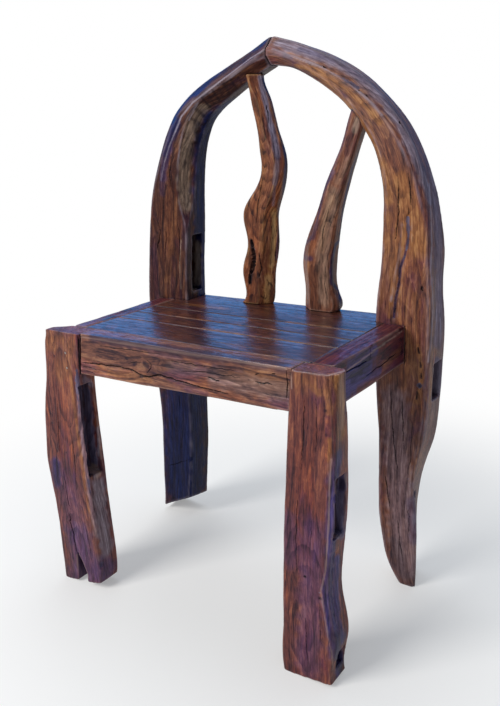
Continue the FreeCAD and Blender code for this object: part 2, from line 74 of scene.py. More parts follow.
# Camera
azimuth = math.radians(34.847)
elevation = math.radians(16.636)
roll = math.radians(-2.335)
eye = place(675.675, -778.615, 755.829)
backward = Vector((
    math.sin(azimuth) * math.cos(elevation),
    -math.cos(azimuth) * math.cos(elevation),
    math.sin(elevation),
))
level_right = (-backward).cross(Vector((0, 0, 1))).normalized()
level_up = level_right.cross(-backward)
picture_right = level_right * math.cos(roll) + level_up * math.sin(roll)
picture_up = level_up * math.cos(roll) - level_right * math.sin(roll)
camera_data = bpy.data.cameras.new("camera")
camera_data.sensor_width = SENSOR
camera_data.lens = FOCAL_PIXELS / PICTURE_HEIGHT * SENSOR
camera_data.clip_end = 100
camera = show("camera", camera_data)
turn = Matrix((picture_right, picture_up, backward)).transposed()
camera.matrix_world = Matrix.Translation(eye) @ turn.to_4x4()
bpy.context.scene.camera = camera


def sight(x, y):
    """Direction from the camera through a point of the photograph."""
    across = (x - PICTURE_WIDTH / 2) / FOCAL_PIXELS
    down = (y - PICTURE_HEIGHT / 2) / FOCAL_PIXELS
    return (picture_right * across - picture_up * down - backward).normalized()


class Noise:
    """Smooth gradient noise in three dimensions, about -1 to 1."""

    def __init__(self, seed):
        source = np.random.default_rng(seed)
        self.order = source.permutation(256)
        ways = source.normal(size=(256, 3))
        self.ways = ways / np.linalg.norm(ways, axis=1)[:, None]

    def __call__(self, points):
        cell = np.floor(points).astype(int)
        part = points - cell
        ease = part ** 3 * (part * (part * 6 - 15) + 10)
        total = np.zeros(len(points))
        for corner in np.ndindex(2, 2, 2):
            at = cell + corner
            key = self.order[at[:, 0] & 255]
            key = self.order[(key + at[:, 1]) & 255]
            key = self.order[(key + at[:, 2]) & 255]
            slope = ((part - corner) * self.ways[key]).sum(1)
            share = np.where(corner, ease, 1 - ease).prod(1)
            total += share * slope
        return total * 1.6


def smooth_step(low, high, value):
    """0 at low and 1 at high, with a smooth passage between."""
    share = np.clip((value - low) / (high - low), 0, 1)
    return share * share * (3 - 2 * share)


def points_of(mesh):
    flat = np.empty(len(mesh.vertices) * 3, np.float32)
    mesh.vertices.foreach_get("co", flat)
    return flat.reshape(-1, 3).astype(float)


def normals_of(mesh):
    flat = np.empty(len(mesh.vertices) * 3, np.float32)
    mesh.vertex_normals.foreach_get("vector", flat)
    return flat.reshape(-1, 3).astype(float)


def edges_of(mesh):
    flat = np.empty(len(mesh.edges) * 2, np.int32)
    mesh.edges.foreach_get("vertices", flat)
    return flat.reshape(-1, 2)


def set_points(mesh, points):
    mesh.vertices.foreach_set("co", points.astype(np.float32).ravel())
    mesh.update()


def neighbour_mean(values, edges):
    """Mean of each vertex's neighbours, for an array of one row a vertex."""
    size = len(values)
    first, second = edges.T
    count = np.bincount(first, minlength=size) + np.bincount(second, minlength=size)
    means = []
    for column in values.T:
        total = np.bincount(first, column[second], size) + np.bincount(second, column[first], size)
        means.append(total / count)
    return np.stack(means, 1)


RELAX_STEPS = (0.5, -0.52)


def relax(points, edges, passes):
    """Takes the voxel steps out of a surface without shrinking it."""
    for step in RELAX_STEPS * passes:
        points = points + step * (neighbour_mean(points, edges) - points)
    return points


def tree_of(nodes):
    """Search tree over several CAD nodes."""
    corners = []
    faces = []
    for name in nodes:
        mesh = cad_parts[name].data
        start = len(corners)
        corners += [v.co.copy() for v in mesh.vertices]
        faces += [[start + i for i in p.vertices] for p in mesh.polygons]
    return BVHTree.FromPolygons(corners, faces)


# Grain. A timber's centre line is given in two of its axes, and each vertex gets
# its length along that line, its place across it and its depth.
UPRIGHT = (0, 2, 1)      # the line runs in x and z, and y is the depth
FLAT = (0, 1, 2)         # the line runs in x and y, and z is the depth
SIDEWAYS = (1, 2, 0)     # the line runs in y and z, and x is the depth
LINE_PIECES = 8


def fine_line(line):
    """The line's points with more between them, on a smooth curve."""
    corners = np.array([line[0]] + list(line) + [line[-1]], float)
    points = []
    for a, b, c, d in zip(corners, corners[1:], corners[2:], corners[3:]):
        for share in np.arange(LINE_PIECES) / LINE_PIECES:
            bend = (2 * a - 5 * b + 4 * c - d) * share ** 2
            twist = (3 * b - a - 3 * c + d) * share ** 3
            points.append((2 * b + (c - a) * share + bend + twist) / 2)
    points.append(corners[-1])
    return np.array(points)


def grain_of(points, line, axes):
    """Length along, place across and depth of each point, in metres."""
    local = (points - np.array(ORIGIN))[:, axes]
    route = fine_line(line) * MM
    steps = np.diff(route, axis=0)
    lengths = np.linalg.norm(steps, axis=1)
    starts = np.concatenate([[0], np.cumsum(lengths)])
    best = np.full(len(local), np.inf)
    along = np.zeros(len(local))
    across = np.zeros(len(local))
    for index, (start, step, length) in enumerate(zip(route, steps, lengths)):
        way = step / length
        offset = local[:, :2] - start
        run = offset @ way
        low = -np.inf if index == 0 else 0
        high = np.inf if index == len(steps) - 1 else length
        held = np.clip(run, low, high)
        distance = np.linalg.norm(offset - held[:, None] * way, axis=1)
        nearer = distance < best
        best[nearer] = distance[nearer]
        along[nearer] = (starts[index] + held)[nearer]
        across[nearer] = (offset @ np.array((-way[1], way[0])))[nearer]
    return np.stack([along, across, local[:, 2]], 1)


def line_distance(points, line):
    """Distance of each point to a line of 3-D points, and its share along it."""
    best = np.full(len(points), np.inf)
    share = np.zeros(len(points))
    count = len(line) - 1
    for index in range(count):
        start = line[index]
        step = line[index + 1] - start
        run = np.clip((points - start) @ step / max(step @ step, 1e-12), 0, 1)
        distance = np.linalg.norm(points - start - run[:, None] * step, axis=1)
        nearer = distance < best
        best[nearer] = distance[nearer]
        share[nearer] = ((index + run) / count)[nearer]
    return best, share


def near_line(points, line, reach):
    """Numbers, distances and shares of the points within reach of a line."""
    inside = np.flatnonzero(((points > line.min(0) - reach) & (points < line.max(0) + reach)).all(1))
    distance, share = line_distance(points[inside], line)
    close = distance < reach
    return inside[close], distance[close], share[close]


def dense(spots, step):
    """Picture points with more between them, at most step pixels apart."""
    if len(spots) == 1:
        return [spots[0], (spots[0][0] + 0.3, spots[0][1])]
    found = [spots[0]]
    for start, end in zip(spots, spots[1:]):
        count = max(1, math.ceil(math.dist(start, end) / step))
        for index in range(1, count + 1):
            share = index / count
            found.append((start[0] + (end[0] - start[0]) * share, start[1] + (end[1] - start[1]) * share))
    return found


GAP_REACH = 8                # millimetres within which the next piece is looked for
LEFT_COVER = 1.6             # millimetres of wood left over a buried piece
OUTLOOK_RAYS = 6             # rays that feel how far a hollow is shut in
SMOOTHING = 6                # passes that find the even surface under ridges and hollows
RIPPLE = 0.12                # height of the fine hewn ripples, in millimetres
CRACK_STEP = 5.0             # pixels between the points that are cast for a crack
CRACK_SWAY = 0.35            # pixels by which these points stray
REFINE_REACH = 5.0           # millimetres each side of a crack where faces are divided
REFINE_ROUNDS = 2
MORTISE_REACH = 40           # millimetres that a ray looks out of a mortise
# How far ridges are lightened, as wear and painted highlight, and hollows darkened, as painted shade, with
# dark joints
SEAT_RIDGE_WEAR_AND_HIGHLIGHT = 0.12
TIMBER_RIDGE_WEAR_AND_HIGHLIGHT = 0.5
HOLLOW_SHADE_AND_JOINTS = 0.85
# Paint channels: the rubbed one is wear and painted highlight on ridges and edges; cool is a painted blue of
# sky reflection and shade; pale is grey dust and weathering, and in places a painted sheen; dark is dark marks
# and, in places, painted shade
CHANNELS = {"wear_and_highlight": (0, 1), "cool": (0, 2), "dark": (1, 0), "gold": (1, 1), "pale": (1, 2), "matt": (2, 0)}


class Timber:
    """One piece of wood over its CAD node."""

    def __init__(self, node, line, axes, seed, voxel, passes):
        self.node = node
        self.axes = axes
        self.line = line
        self.noise = Noise(seed)
        self.fine = Noise(seed + 100)
        self.chance = np.random.default_rng(seed)
        self.knots = []
        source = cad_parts[node]
        mesh = source.data.copy()
        mesh.materials.clear()
        bm = bmesh.new()
        bm.from_mesh(mesh)
        bmesh.ops.remove_doubles(bm, verts=bm.verts, dist=1e-6)
        bm.to_mesh(mesh)
        bm.free()
        rough = show("rough", mesh)
        remesh = rough.modifiers.new("even", "REMESH")
        remesh.mode = "VOXEL"
        remesh.voxel_size = voxel * MM
        remesh.adaptivity = 0
        graph = bpy.context.evaluated_depsgraph_get()
        self.mesh = bpy.data.meshes.new_from_object(rough.evaluated_get(graph))
        self.mesh.name = node + "_wood"
        bpy.data.objects.remove(rough)
        bpy.data.meshes.remove(mesh)
        set_points(self.mesh, relax(points_of(self.mesh), edges_of(self.mesh), passes))
        self.others = tree_of([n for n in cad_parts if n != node])
        corners = [v.co.copy() for v in self.mesh.vertices]
        faces = [tuple(p.vertices) for p in self.mesh.polygons]
        self.tree = BVHTree.FromPolygons(corners, faces)

    def cast(self, spots, step=6.0, sway=0.0):
        """Picture points cast from the camera onto the timber."""
        low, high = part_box(self.node)
        centre = (low + high) / 2
        found = []
        for x, y in dense(spots, step):
            shift = self.chance.normal(size=2) * sway
            way = sight(x + shift[0], y + shift[1])
            hit = self.tree.ray_cast(eye, way)[0]
            if hit is None:
                hit = self.tree.find_nearest(eye + way * (centre - eye).dot(way))[0]
            found.append(np.array(hit))
        return np.array(found)

    def gaps(self, reach):
        """Distance of each vertex to the nearest other piece, in millimetres up to reach."""
        points = points_of(self.mesh)
        gaps = np.full(len(points), float(reach))
        for index, point in enumerate(points):
            found = self.others.find_nearest(Vector(point), reach * MM)
            if found[0] is not None:
                gaps[index] = found[3] / MM
        return gaps

    def refine(self, lines, reach, rounds):
        """Divides the faces near some lines, so that fine cracks have real shape."""
        for _ in range(rounds):
            bm = bmesh.new()
            bm.from_mesh(self.mesh)
            points = points_of(self.mesh)
            near = np.zeros(len(points), bool)
            for line in lines:
                near[near_line(points, line, reach * MM)[0]] = True
            ends = near[edges_of(self.mesh)].all(1)
            bm.edges.ensure_lookup_table()
            chosen = [bm.edges[i] for i in np.flatnonzero(ends)]
            bmesh.ops.subdivide_edges(bm, edges=chosen, cuts=1, use_grid_fill=True)
            bm.to_mesh(self.mesh)
            bm.free()
            reach *= 0.6

    def begin(self):
        """Starts the vertex values, once the mesh has all its vertices."""
        count = len(self.mesh.vertices)
        self.nearby = self.gaps(GAP_REACH)
        self.room = np.maximum(self.nearby - LEFT_COVER, 0)
        self.marks = np.zeros((count, 3))
        self.tone = np.zeros((count, 3))
        self.matt = np.zeros((count, 1))

    def push(self, amount):
        """Moves each vertex along its normal by its amount, in millimetres."""
        points = points_of(self.mesh) + normals_of(self.mesh) * amount[:, None] * MM
        set_points(self.mesh, points)

    def grain(self):
        return grain_of(points_of(self.mesh), self.line, self.axes)

    def sink(self, amount):
        """Moves each vertex inward, but never so far that a buried piece is laid bare."""
        held = np.minimum(amount, self.room)
        self.room = self.room - np.maximum(held, 0)
        self.push(-held)

    def hew(self, wave, fine):
        """Hewn waviness along the grain. wave and fine are heights in millimetres."""
        heights = points_of(self.mesh)[:, 2] / MM
        free = smooth_step(0.5, 6, self.nearby) * smooth_step(0, 14, heights)
        grain = self.grain()
        low = self.noise(grain * (9, 26, 26)) + 0.5 * self.noise(grain * (24, 60, 60) + 7)
        high = self.fine(grain * (30, 260, 260)) + 0.5 * self.fine(grain * (60, 520, 520) + 3)
        self.sink(-(wave * low + fine * high) * free)

    def crack(self, line, width, depth):
        """A crack along a line of 3-D points, in millimetres each side and deep."""
        points = points_of(self.mesh)
        inside, distance, share = near_line(points, line, 2.2 * width * MM)
        wobble = 1 + 0.5 * self.fine(points[inside] * 300)
        ends = 4 * share * (1 - share)
        here = width * MM * wobble * (0.3 + 0.7 * np.sqrt(ends))
        amount = np.zeros(len(points))
        amount[inside] = depth * np.clip(1 - distance / here, 0, 1) ** 0.7
        self.sink(amount)
        shade = np.clip(1.35 - distance / here, 0, 1)
        self.marks[inside, 0] = np.maximum(self.marks[inside, 0], shade)

    def dent(self, line, radius, depth):
        """A smooth hollow along a line, or a swelling where depth is negative."""
        points = points_of(self.mesh)
        inside, distance, _ = near_line(points, line, radius * MM)
        wobble = 1 + 0.25 * self.noise(points[inside] * 120)
        amount = np.zeros(len(points))
        amount[inside] = depth * wobble * smooth_step(radius * MM, 0, distance)
        self.sink(amount)

    def paint(self, channel, line, radius, amount):
        """Marks the wood near a line for a tone that the material shows."""
        layer, column = CHANNELS[channel]
        values = (self.marks, self.tone, self.matt)[layer]
        points = points_of(self.mesh)
        inside, distance, _ = near_line(points, line, 1.5 * radius * MM)
        edge = radius * MM * (1 + 0.4 * self.noise(points[inside] * 80))
        share = amount * smooth_step(edge, 0.3 * edge, distance)
        if amount > 0:
            values[inside, column] = np.maximum(values[inside, column], share)
        else:
            values[inside, column] *= 1 + share

    def shade(self, reach):
        """Paints shade on the walls of deep hollows, by how much of their outlook is shut off: darker and
        bluer as painted shade, and greyer as dust.
        """
        points = points_of(self.mesh)
        normals = normals_of(self.mesh)
        aside = np.cross(normals, (0.31, 0.52, 0.79))
        aside /= np.linalg.norm(aside, axis=1)[:, None]
        third = np.cross(normals, aside)
        shut = np.zeros(len(points))
        for turn_share in np.arange(OUTLOOK_RAYS) / OUTLOOK_RAYS:
            angle = turn_share * 2 * math.pi
            ways = normals * 0.6 + 0.8 * (aside * math.cos(angle) + third * math.sin(angle))
            starts = points + normals * 1.5 * MM
            for index, (start, way) in enumerate(zip(starts.tolist(), ways.tolist())):
                if self.tree.ray_cast(start, way, reach * MM)[0] is not None:
                    shut[index] += 1 / OUTLOOK_RAYS
        deep = smooth_step(0.35, 0.8, shut)
        self.tone[:, 0] = np.maximum(self.tone[:, 0], 0.35 * deep)
        self.tone[:, 2] = np.maximum(self.tone[:, 2], 0.9 * deep)
        self.marks[:, 2] = np.maximum(self.marks[:, 2], 0.45 * deep)

    def age(self, wear_and_highlight, hollow_shade_and_joints):
        """Lighter ridges, as wear and painted highlight; darker hollows, as painted shade; and dark joints."""
        points = points_of(self.mesh)
        edges = edges_of(self.mesh)
        smooth = points
        for _ in range(SMOOTHING):
            smooth = smooth + 0.5 * (neighbour_mean(smooth, edges) - smooth)
        bulge = ((points - smooth) * normals_of(self.mesh)).sum(1) / MM
        patches = np.clip(0.65 + 0.7 * self.noise(points * 45), 0, 1)
        # Ridges lighter: wear, and a painted highlight
        ridge = wear_and_highlight * patches * smooth_step(0.12, 0.55, bulge)
        self.marks[:, 1] = np.maximum(self.marks[:, 1], ridge)
        # Painted shade in the hollows, and dark lines along the joints
        hollow = hollow_shade_and_joints * smooth_step(0.15, 0.6, -bulge)
        joint = 0.8 * hollow_shade_and_joints * smooth_step(1.3, 0.3, self.nearby)
        self.tone[:, 0] = np.maximum(self.tone[:, 0], np.maximum(hollow, joint))

    def finish(self, material):
        """Writes the attributes and makes the visible piece."""
        points = points_of(self.mesh)
        points[:, 2] = np.maximum(points[:, 2], 0)
        set_points(self.mesh, points)
        grain = self.grain()
        for where, radius, length in self.knots:
            centre = grain_of(np.array([where]), self.line, self.axes)[0]
            offset = grain - centre
            reach = np.exp(-((offset[:, 0] / (length * MM)) ** 2)) * (radius * MM) ** 2
            side = np.where(offset[:, 1] < 0, -1, 1)
            spread = np.sqrt(offset[:, 1] ** 2 + reach)
            nearby = np.exp(-(offset[:, 2] / (5 * radius * MM)) ** 2)
            grain[:, 1] += nearby * (side * spread - offset[:, 1])
        # Growth rings about a wandering pith behind the face
        flat = np.zeros((len(grain), 3))
        flat[:, 0] = grain[:, 0] * 2.2
        pith_across = 0.035 * self.noise(flat + 11)
        pith_depth = 0.045 + 0.040 * self.noise(flat * 1.7 + 29)
        across = grain[:, 1] - pith_across
        depth = grain[:, 2] - grain[:, 2].min() + pith_depth
        rings = np.hypot(across, depth)
        for name, values in (("grain", grain), ("marks", self.marks), ("tone", self.tone)):
            layer = self.mesh.attributes.new(name, "FLOAT_VECTOR", "POINT")
            layer.data.foreach_set("vector", values.astype(np.float32).ravel())
        polish = smooth_step(0.55, 0.9, normals_of(self.mesh)[:, 2]) * (1 - self.matt[:, 0])
        for name, values in (("rings", rings), ("polish", polish)):
            layer = self.mesh.attributes.new(name, "FLOAT", "POINT")
            layer.data.foreach_set("value", values.astype(np.float32))
        self.mesh.polygons.foreach_set("use_smooth", np.ones(len(self.mesh.polygons), bool))
        self.mesh.materials.append(material)
        piece = show(self.node + "_wood", self.mesh)
        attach(piece, "root")
        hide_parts(self.node)


# Colours of the painted tones. COOL, NAVY, DUSK and BLUE paint the blue of sky reflection and of shade. The
# rubbed colours, SILVER and STRAW among them, are wear and painted highlight on ridges. PALE, TAN and LILAC
# are grey dust and weathering, and in places a painted sheen
COOL = ((0.004, 0.004, 0.022), (0.020, 0.014, 0.065), (0.065, 0.045, 0.16))
GOLD = ((0.080, 0.026, 0.008), (0.27, 0.105, 0.032), (0.52, 0.27, 0.10))
PALE = ((0.045, 0.036, 0.040), (0.16, 0.125, 0.130), (0.36, 0.32, 0.36))
WEAR_HIGHLIGHT_TINT = (0.46, 0.30, 0.24)
SILVER = (0.40, 0.35, 0.42)
STRAW = (0.50, 0.32, 0.14)
NAVY = ((0.000, 0.001, 0.014), (0.005, 0.011, 0.068), (0.022, 0.036, 0.150))
DUSK = ((0.008, 0.006, 0.030), (0.058, 0.038, 0.150), (0.13, 0.10, 0.28))
BLUE = ((0.006, 0.005, 0.030), (0.036, 0.024, 0.105), (0.100, 0.075, 0.21))
TAN = ((0.080, 0.060, 0.045), (0.30, 0.225, 0.165), (0.50, 0.40, 0.31))
LILAC = ((0.050, 0.036, 0.055), (0.20, 0.155, 0.20), (0.42, 0.37, 0.45))


def empty_tree(data):
    """The emptied node tree of a material or a world."""
    data.use_nodes = True
    data.node_tree.nodes.clear()
    return data.node_tree


def add_node(tree, kind, *inputs, **settings):
    """Outputs of a new shader node. Each input is a place with a value, or with a socket to link."""
    made = tree.nodes.new("ShaderNode" + kind)
    for key, value in settings.items():
        setattr(made, key, value)
    for at, value in inputs:
        if isinstance(value, bpy.types.NodeSocket):
            tree.links.new(value, made.inputs[at])
        else:
            made.inputs[at].default_value = value
    return made.outputs


def wood(name, dark, middle, light, gloss=0.42, level=0.2, coat=0.0, polish=0.1, relief=0.7, hue=0.75,
         wavy=0.0, figure=0.2, chill=COOL, grey=PALE, rubbed_and_highlight=WEAR_HIGHLIGHT_TINT):
    """Old oiled wood. The colours are linear, and the grain follows the timber."""
    material = bpy.data.materials.new(name)
    tree = empty_tree(material)

    def attribute(key):
        return add_node(tree, "Attribute", attribute_name=key)

    def parts(key):
        return add_node(tree, "SeparateXYZ", (0, attribute(key)["Vector"]))

    def maths(operation, first, second=0, clamp=False):
        return add_node(tree, "Math", (0, first), (1, second), operation=operation, use_clamp=clamp)[0]

    def total(*terms):
        """Sum of (source, weight) pairs, each source taken about its middle."""
        result = 0.5
        for source, weight in terms:
            result = maths("ADD", maths("MULTIPLY", maths("SUBTRACT", source, 0.5), weight), result)
        return result

    def noise(scale, detail=3.0, rough=0.6, distortion=0.0):
        stretched = add_node(tree, "VectorMath", (0, grain), (1, scale), operation="MULTIPLY")[0]
        return add_node(tree, "TexNoise", ("Vector", stretched), ("Scale", 1.0), ("Detail", detail),
                        ("Roughness", rough), ("Distortion", distortion))["Fac"]

    def blend(share, first, second, mode="MIX"):
        first, second = [(*value, 1) if isinstance(value, tuple) else value for value in (first, second)]
        return add_node(tree, "Mix", (0, share), (6, first), (7, second), data_type="RGBA", blend_type=mode)[2]

    def ramp(source, colours, places=(0.20, 0.50, 0.82)):
        made = tree.nodes.new("ShaderNodeValToRGB")
        elements = made.color_ramp.elements
        while len(elements) < len(colours):
            elements.new(1)
        for element, position, colour in zip(elements, places, colours):
            element.position = position
            element.color = (*colour, 1)
        tree.links.new(source, made.inputs[0])
        return made.outputs[0]

    def steps(source, low, high):
        return add_node(tree, "MapRange", (0, source), (1, low), (2, high), interpolation_type="SMOOTHSTEP")[0]

    grain = attribute("grain")["Vector"]
    # Marks: cracks, the rubbed tone of wear and painted highlight, and the cool blue of painted sky reflection
    # and shade. Tones: dark marks with painted shade, gold, and pale dust with a painted sheen in places
    crack, wear_and_highlight, cool = parts("marks")
    dark_marks_and_shade, gold, pale = parts("tone")
    rings = attribute("rings")["Fac"]

    broad = noise((2.5, 20, 20), 4, 0.6, 0.4)
    streaks = noise((9, 150, 150), 6, 0.7, 0.5)
    fibres = noise((30, 520, 520), 3, 0.6)
    blotch = noise((16, 36, 36), 3, 0.6, 0.5)
    mottle = noise((60, 150, 150), 4, 0.65, 0.6)
    hair = noise((5, 210, 210), 3, 0.6, 0.3)
    pores = noise((48, 420, 420), 2, 0.5)

    swirl = maths("ADD", maths("MULTIPLY", rings, 170.0), maths("MULTIPLY", broad, 3.0))
    saw = maths("FRACT", swirl)
    late = maths("MULTIPLY", steps(saw, 0.35, 0.93), maths("SUBTRACT", 1.0, steps(saw, 0.93, 1.0)))
    late = maths("MULTIPLY", late, steps(blotch, 0.34, 0.62))

    body = total((broad, 0.6), (streaks, 0.8), (fibres, 0.55), (blotch, 0.3), (mottle, 0.55))
    body = maths("SUBTRACT", body, maths("MULTIPLY", late, figure))
    colour = ramp(body, (dark, middle, light))
    warm = maths("MULTIPLY", steps(noise((5, 26, 26), 4, 0.65, 0.6), 0.46, 0.62), 0.6)
    colour = blend(warm, colour, (1.30, 0.95, 0.62), "MULTIPLY")
    violet = maths("MULTIPLY", steps(noise((6, 24, 24.7), 5, 0.7, 0.6), 0.50, 0.64), hue)
    colour = blend(violet, colour, (0.62, 0.55, 1.55), "MULTIPLY")

    def streaked(channel, strength=1.0):
        """A painted tone whose edge breaks up along the grain."""
        edge = maths("MULTIPLY", maths("SUBTRACT", streaks, 0.5), 1.6)
        spread = maths("MULTIPLY", channel, maths("ADD", edge, 1.0))
        return maths("MULTIPLY", spread, strength, True)

    # Painted tones over the grain: gold; pale, as grey dust and in places a painted sheen; cool, as a painted
    # blue of sky reflection and shade; rubbed, as wear and painted highlight
    colour = blend(streaked(gold), colour, ramp(body, GOLD))
    colour = blend(streaked(pale), colour, ramp(body, grey))
    colour = blend(streaked(cool), colour, ramp(body, chill))
    colour = blend(streaked(wear_and_highlight, 0.75), colour, rubbed_and_highlight)
    lines = maths("MULTIPLY", steps(hair, 0.61, 0.70), 0.5)
    specks = maths("MULTIPLY", steps(pores, 0.63, 0.71), 0.45)
    # Darker along grain lines and pores, and where the dark tone lies: dark marks, dark joints and painted
    # shade
    shade = maths("MAXIMUM", maths("MAXIMUM", lines, specks), maths("MULTIPLY", dark_marks_and_shade, 0.93, True))
    colour = blend(shade, colour, (dark[0] * 0.3, dark[1] * 0.4, dark[2] * 0.9))
    colour = blend(maths("MULTIPLY", crack, 1.0, True), colour, (0.003, 0.002, 0.003))

    height = total((fibres, 0.7), (streaks, 1.0), (blotch, 0.4))
    height = maths("SUBTRACT", height, maths("MULTIPLY", specks, 0.5))
    height = maths("SUBTRACT", height, maths("MULTIPLY", lines, 0.4))
    bump = add_node(tree, "Bump", ("Strength", relief), ("Distance", 0.0012), ("Height", height))[0]

    rough = maths("ADD", maths("MULTIPLY", streaks, 0.25), gloss - 0.12)
    rough = maths("ADD", rough, maths("MULTIPLY", crack, 0.5))
    rough = maths("ADD", rough, maths("MULTIPLY", pale, 0.3), True)
    inputs = [("Base Color", colour), ("Roughness", rough), ("Normal", bump), ("Specular IOR Level", level)]
    if coat:
        # The lacquer has sunk along the grain, so its mirror is broken up
        thin = maths("MULTIPLY", steps(total((streaks, 1.0), (mottle, 0.6)), 0.39, 0.58), coat)
        thin = maths("MULTIPLY", thin, attribute("polish")["Fac"])
        uneven = total((noise((7, 42, 42), 3, 0.6, 0.5), 1.0), (streaks, 0.22))
        sunk = add_node(tree, "Bump", ("Strength", wavy), ("Distance", 0.004), ("Height", uneven))[0]
        inputs += [("Coat Weight", thin), ("Coat Roughness", polish), ("Coat Normal", sunk)]
    shader = add_node(tree, "BsdfPrincipled", *inputs)[0]
    add_node(tree, "OutputMaterial", (0, shader))
    return material


LEG = wood("leg_wood", (0.028, 0.008, 0.013), (0.136, 0.039, 0.032), (0.38, 0.138, 0.064),
           coat=0.55, polish=0.15, wavy=0.3, figure=0.21, chill=BLUE, grey=LILAC)
ARCH = wood("arch_wood", (0.030, 0.011, 0.012), (0.150, 0.056, 0.036), (0.40, 0.190, 0.090),
            grey=LILAC, rubbed_and_highlight=SILVER, figure=0.2)
ARCH_LEFT = wood("left_arch_wood", (0.012, 0.004, 0.006), (0.055, 0.020, 0.014), (0.18, 0.078, 0.044),
                 level=0.1, chill=NAVY, grey=TAN, rubbed_and_highlight=SILVER, figure=0.2)
SLAT = wood("slat_wood", (0.028, 0.008, 0.005), (0.165, 0.052, 0.023), (0.42, 0.185, 0.090),
            hue=0.5, grey=LILAC, rubbed_and_highlight=STRAW, figure=0.24)
SLAT_RIGHT = wood("right_slat_wood", (0.028, 0.009, 0.006), (0.165, 0.056, 0.028), (0.42, 0.19, 0.10),
                  hue=0.5, grey=TAN, figure=0.2)
RAIL = wood("rail_wood", (0.028, 0.010, 0.014), (0.165, 0.064, 0.042), (0.42, 0.210, 0.115),
            coat=0.9, polish=0.09, wavy=0.35, figure=0.24)
SIDE = wood("side_rail_wood", (0.013, 0.003, 0.011), (0.092, 0.020, 0.026), (0.24, 0.072, 0.055),
            level=0.1, coat=0.8, polish=0.1, relief=0.4, wavy=0.4, chill=DUSK)
SEAT = wood("seat_wood", (0.010, 0.003, 0.003), (0.058, 0.016, 0.010), (0.24, 0.085, 0.036),
            gloss=0.3, level=0.4, coat=1.0, polish=0.06, relief=0.2, wavy=0.45)
INNER = wood("inner_wood", (0.030, 0.012, 0.010), (0.110, 0.050, 0.032), (0.20, 0.11, 0.07), gloss=0.6)

# Node: material, slot, axes, seed, voxel and relaxing passes, wave, centre line
TIMBERS = {
    "left_front_leg": (LEG, "leg_wood", UPRIGHT, 1, 1.6, 6, 1.0,
                       [(-228, 0), (-236, 110), (-248, 220), (-242, 330), (-240, 400), (-234, 460)]),
    "right_front_leg": (LEG, "leg_wood", UPRIGHT, 2, 1.6, 6, 1.0,
                        [(224, 0), (222, 150), (222, 260), (226, 350), (230, 460)]),
    "left_arch_half": (ARCH_LEFT, "arch_wood", UPRIGHT, 3, 2.2, 4, 1.0,
                       [(-254, 0), (-245, 83), (-239, 212), (-240, 276), (-241, 340), (-239, 405),
                        (-237, 464), (-232, 522), (-226, 588), (-222, 647), (-213, 698), (-196, 744),
                        (-173, 781), (-141, 810), (-100, 829), (-59, 849), (-20, 864), (0, 871)]),
    "right_arch_half": (ARCH, "arch_wood", UPRIGHT, 4, 2.2, 4, 1.0,
                        [(252, 0), (244, 28), (238, 87), (234, 152), (232, 221), (236, 310),
                         (238, 419), (238, 473), (239, 521), (240, 572), (238, 616), (233, 656),
                         (224, 699), (206, 741), (181, 776), (144, 813), (101, 842), (60, 860),
                         (21, 875), (0, 880)]),
    "front_rail": (RAIL, "rail_wood", UPRIGHT, 5, 2.0, 2, 0.5, [(-238, 428), (238, 428)]),
    "rear_rail": (INNER, "inner_wood", UPRIGHT, 6, 3.0, 2, 0.6, [(-222, 415), (222, 415)]),
    "left_side_rail": (SIDE, "rail_wood", SIDEWAYS, 7, 2.6, 2, 0.6, [(0, 428), (300, 428)]),
    "right_side_rail": (SIDE, "rail_wood", SIDEWAYS, 8, 2.2, 2, 0.6, [(0, 428), (300, 428)]),
    "seat_board_1": (SEAT, "seat_wood", FLAT, 11, 1.8, 1, 0.25, [(-220, 70), (220, 70)]),
    "seat_board_2": (SEAT, "seat_wood", FLAT, 12, 1.8, 1, 0.25, [(-220, 130), (220, 130)]),
    "seat_board_3": (SEAT, "seat_wood", FLAT, 13, 1.8, 1, 0.25, [(-220, 180), (220, 180)]),
    "seat_board_4": (SEAT, "seat_wood", FLAT, 14, 1.9, 1, 0.25, [(-220, 260), (220, 260)]),
    "left_back_slat": (SLAT, "slat_wood", UPRIGHT, 9, 1.8, 2, 0.8,
                       [(-57, 420), (-57, 460), (-49, 500), (-41, 551), (-34, 625), (-22, 653), (-8, 690),
                        (-6, 712), (-19, 776), (-38, 850)]),
    "right_back_slat": (SLAT_RIGHT, "slat_wood", UPRIGHT, 10, 1.8, 2, 0.8,
                        [(71, 420), (71, 460), (71, 547), (80, 581), (90, 616), (108, 659), (126, 702),
                         (143, 746), (159, 789)]),
}

# Timbers with old mortises, whose hollows get painted shade
MORTISED = ("left_front_leg", "right_front_leg", "left_arch_half", "right_arch_half")

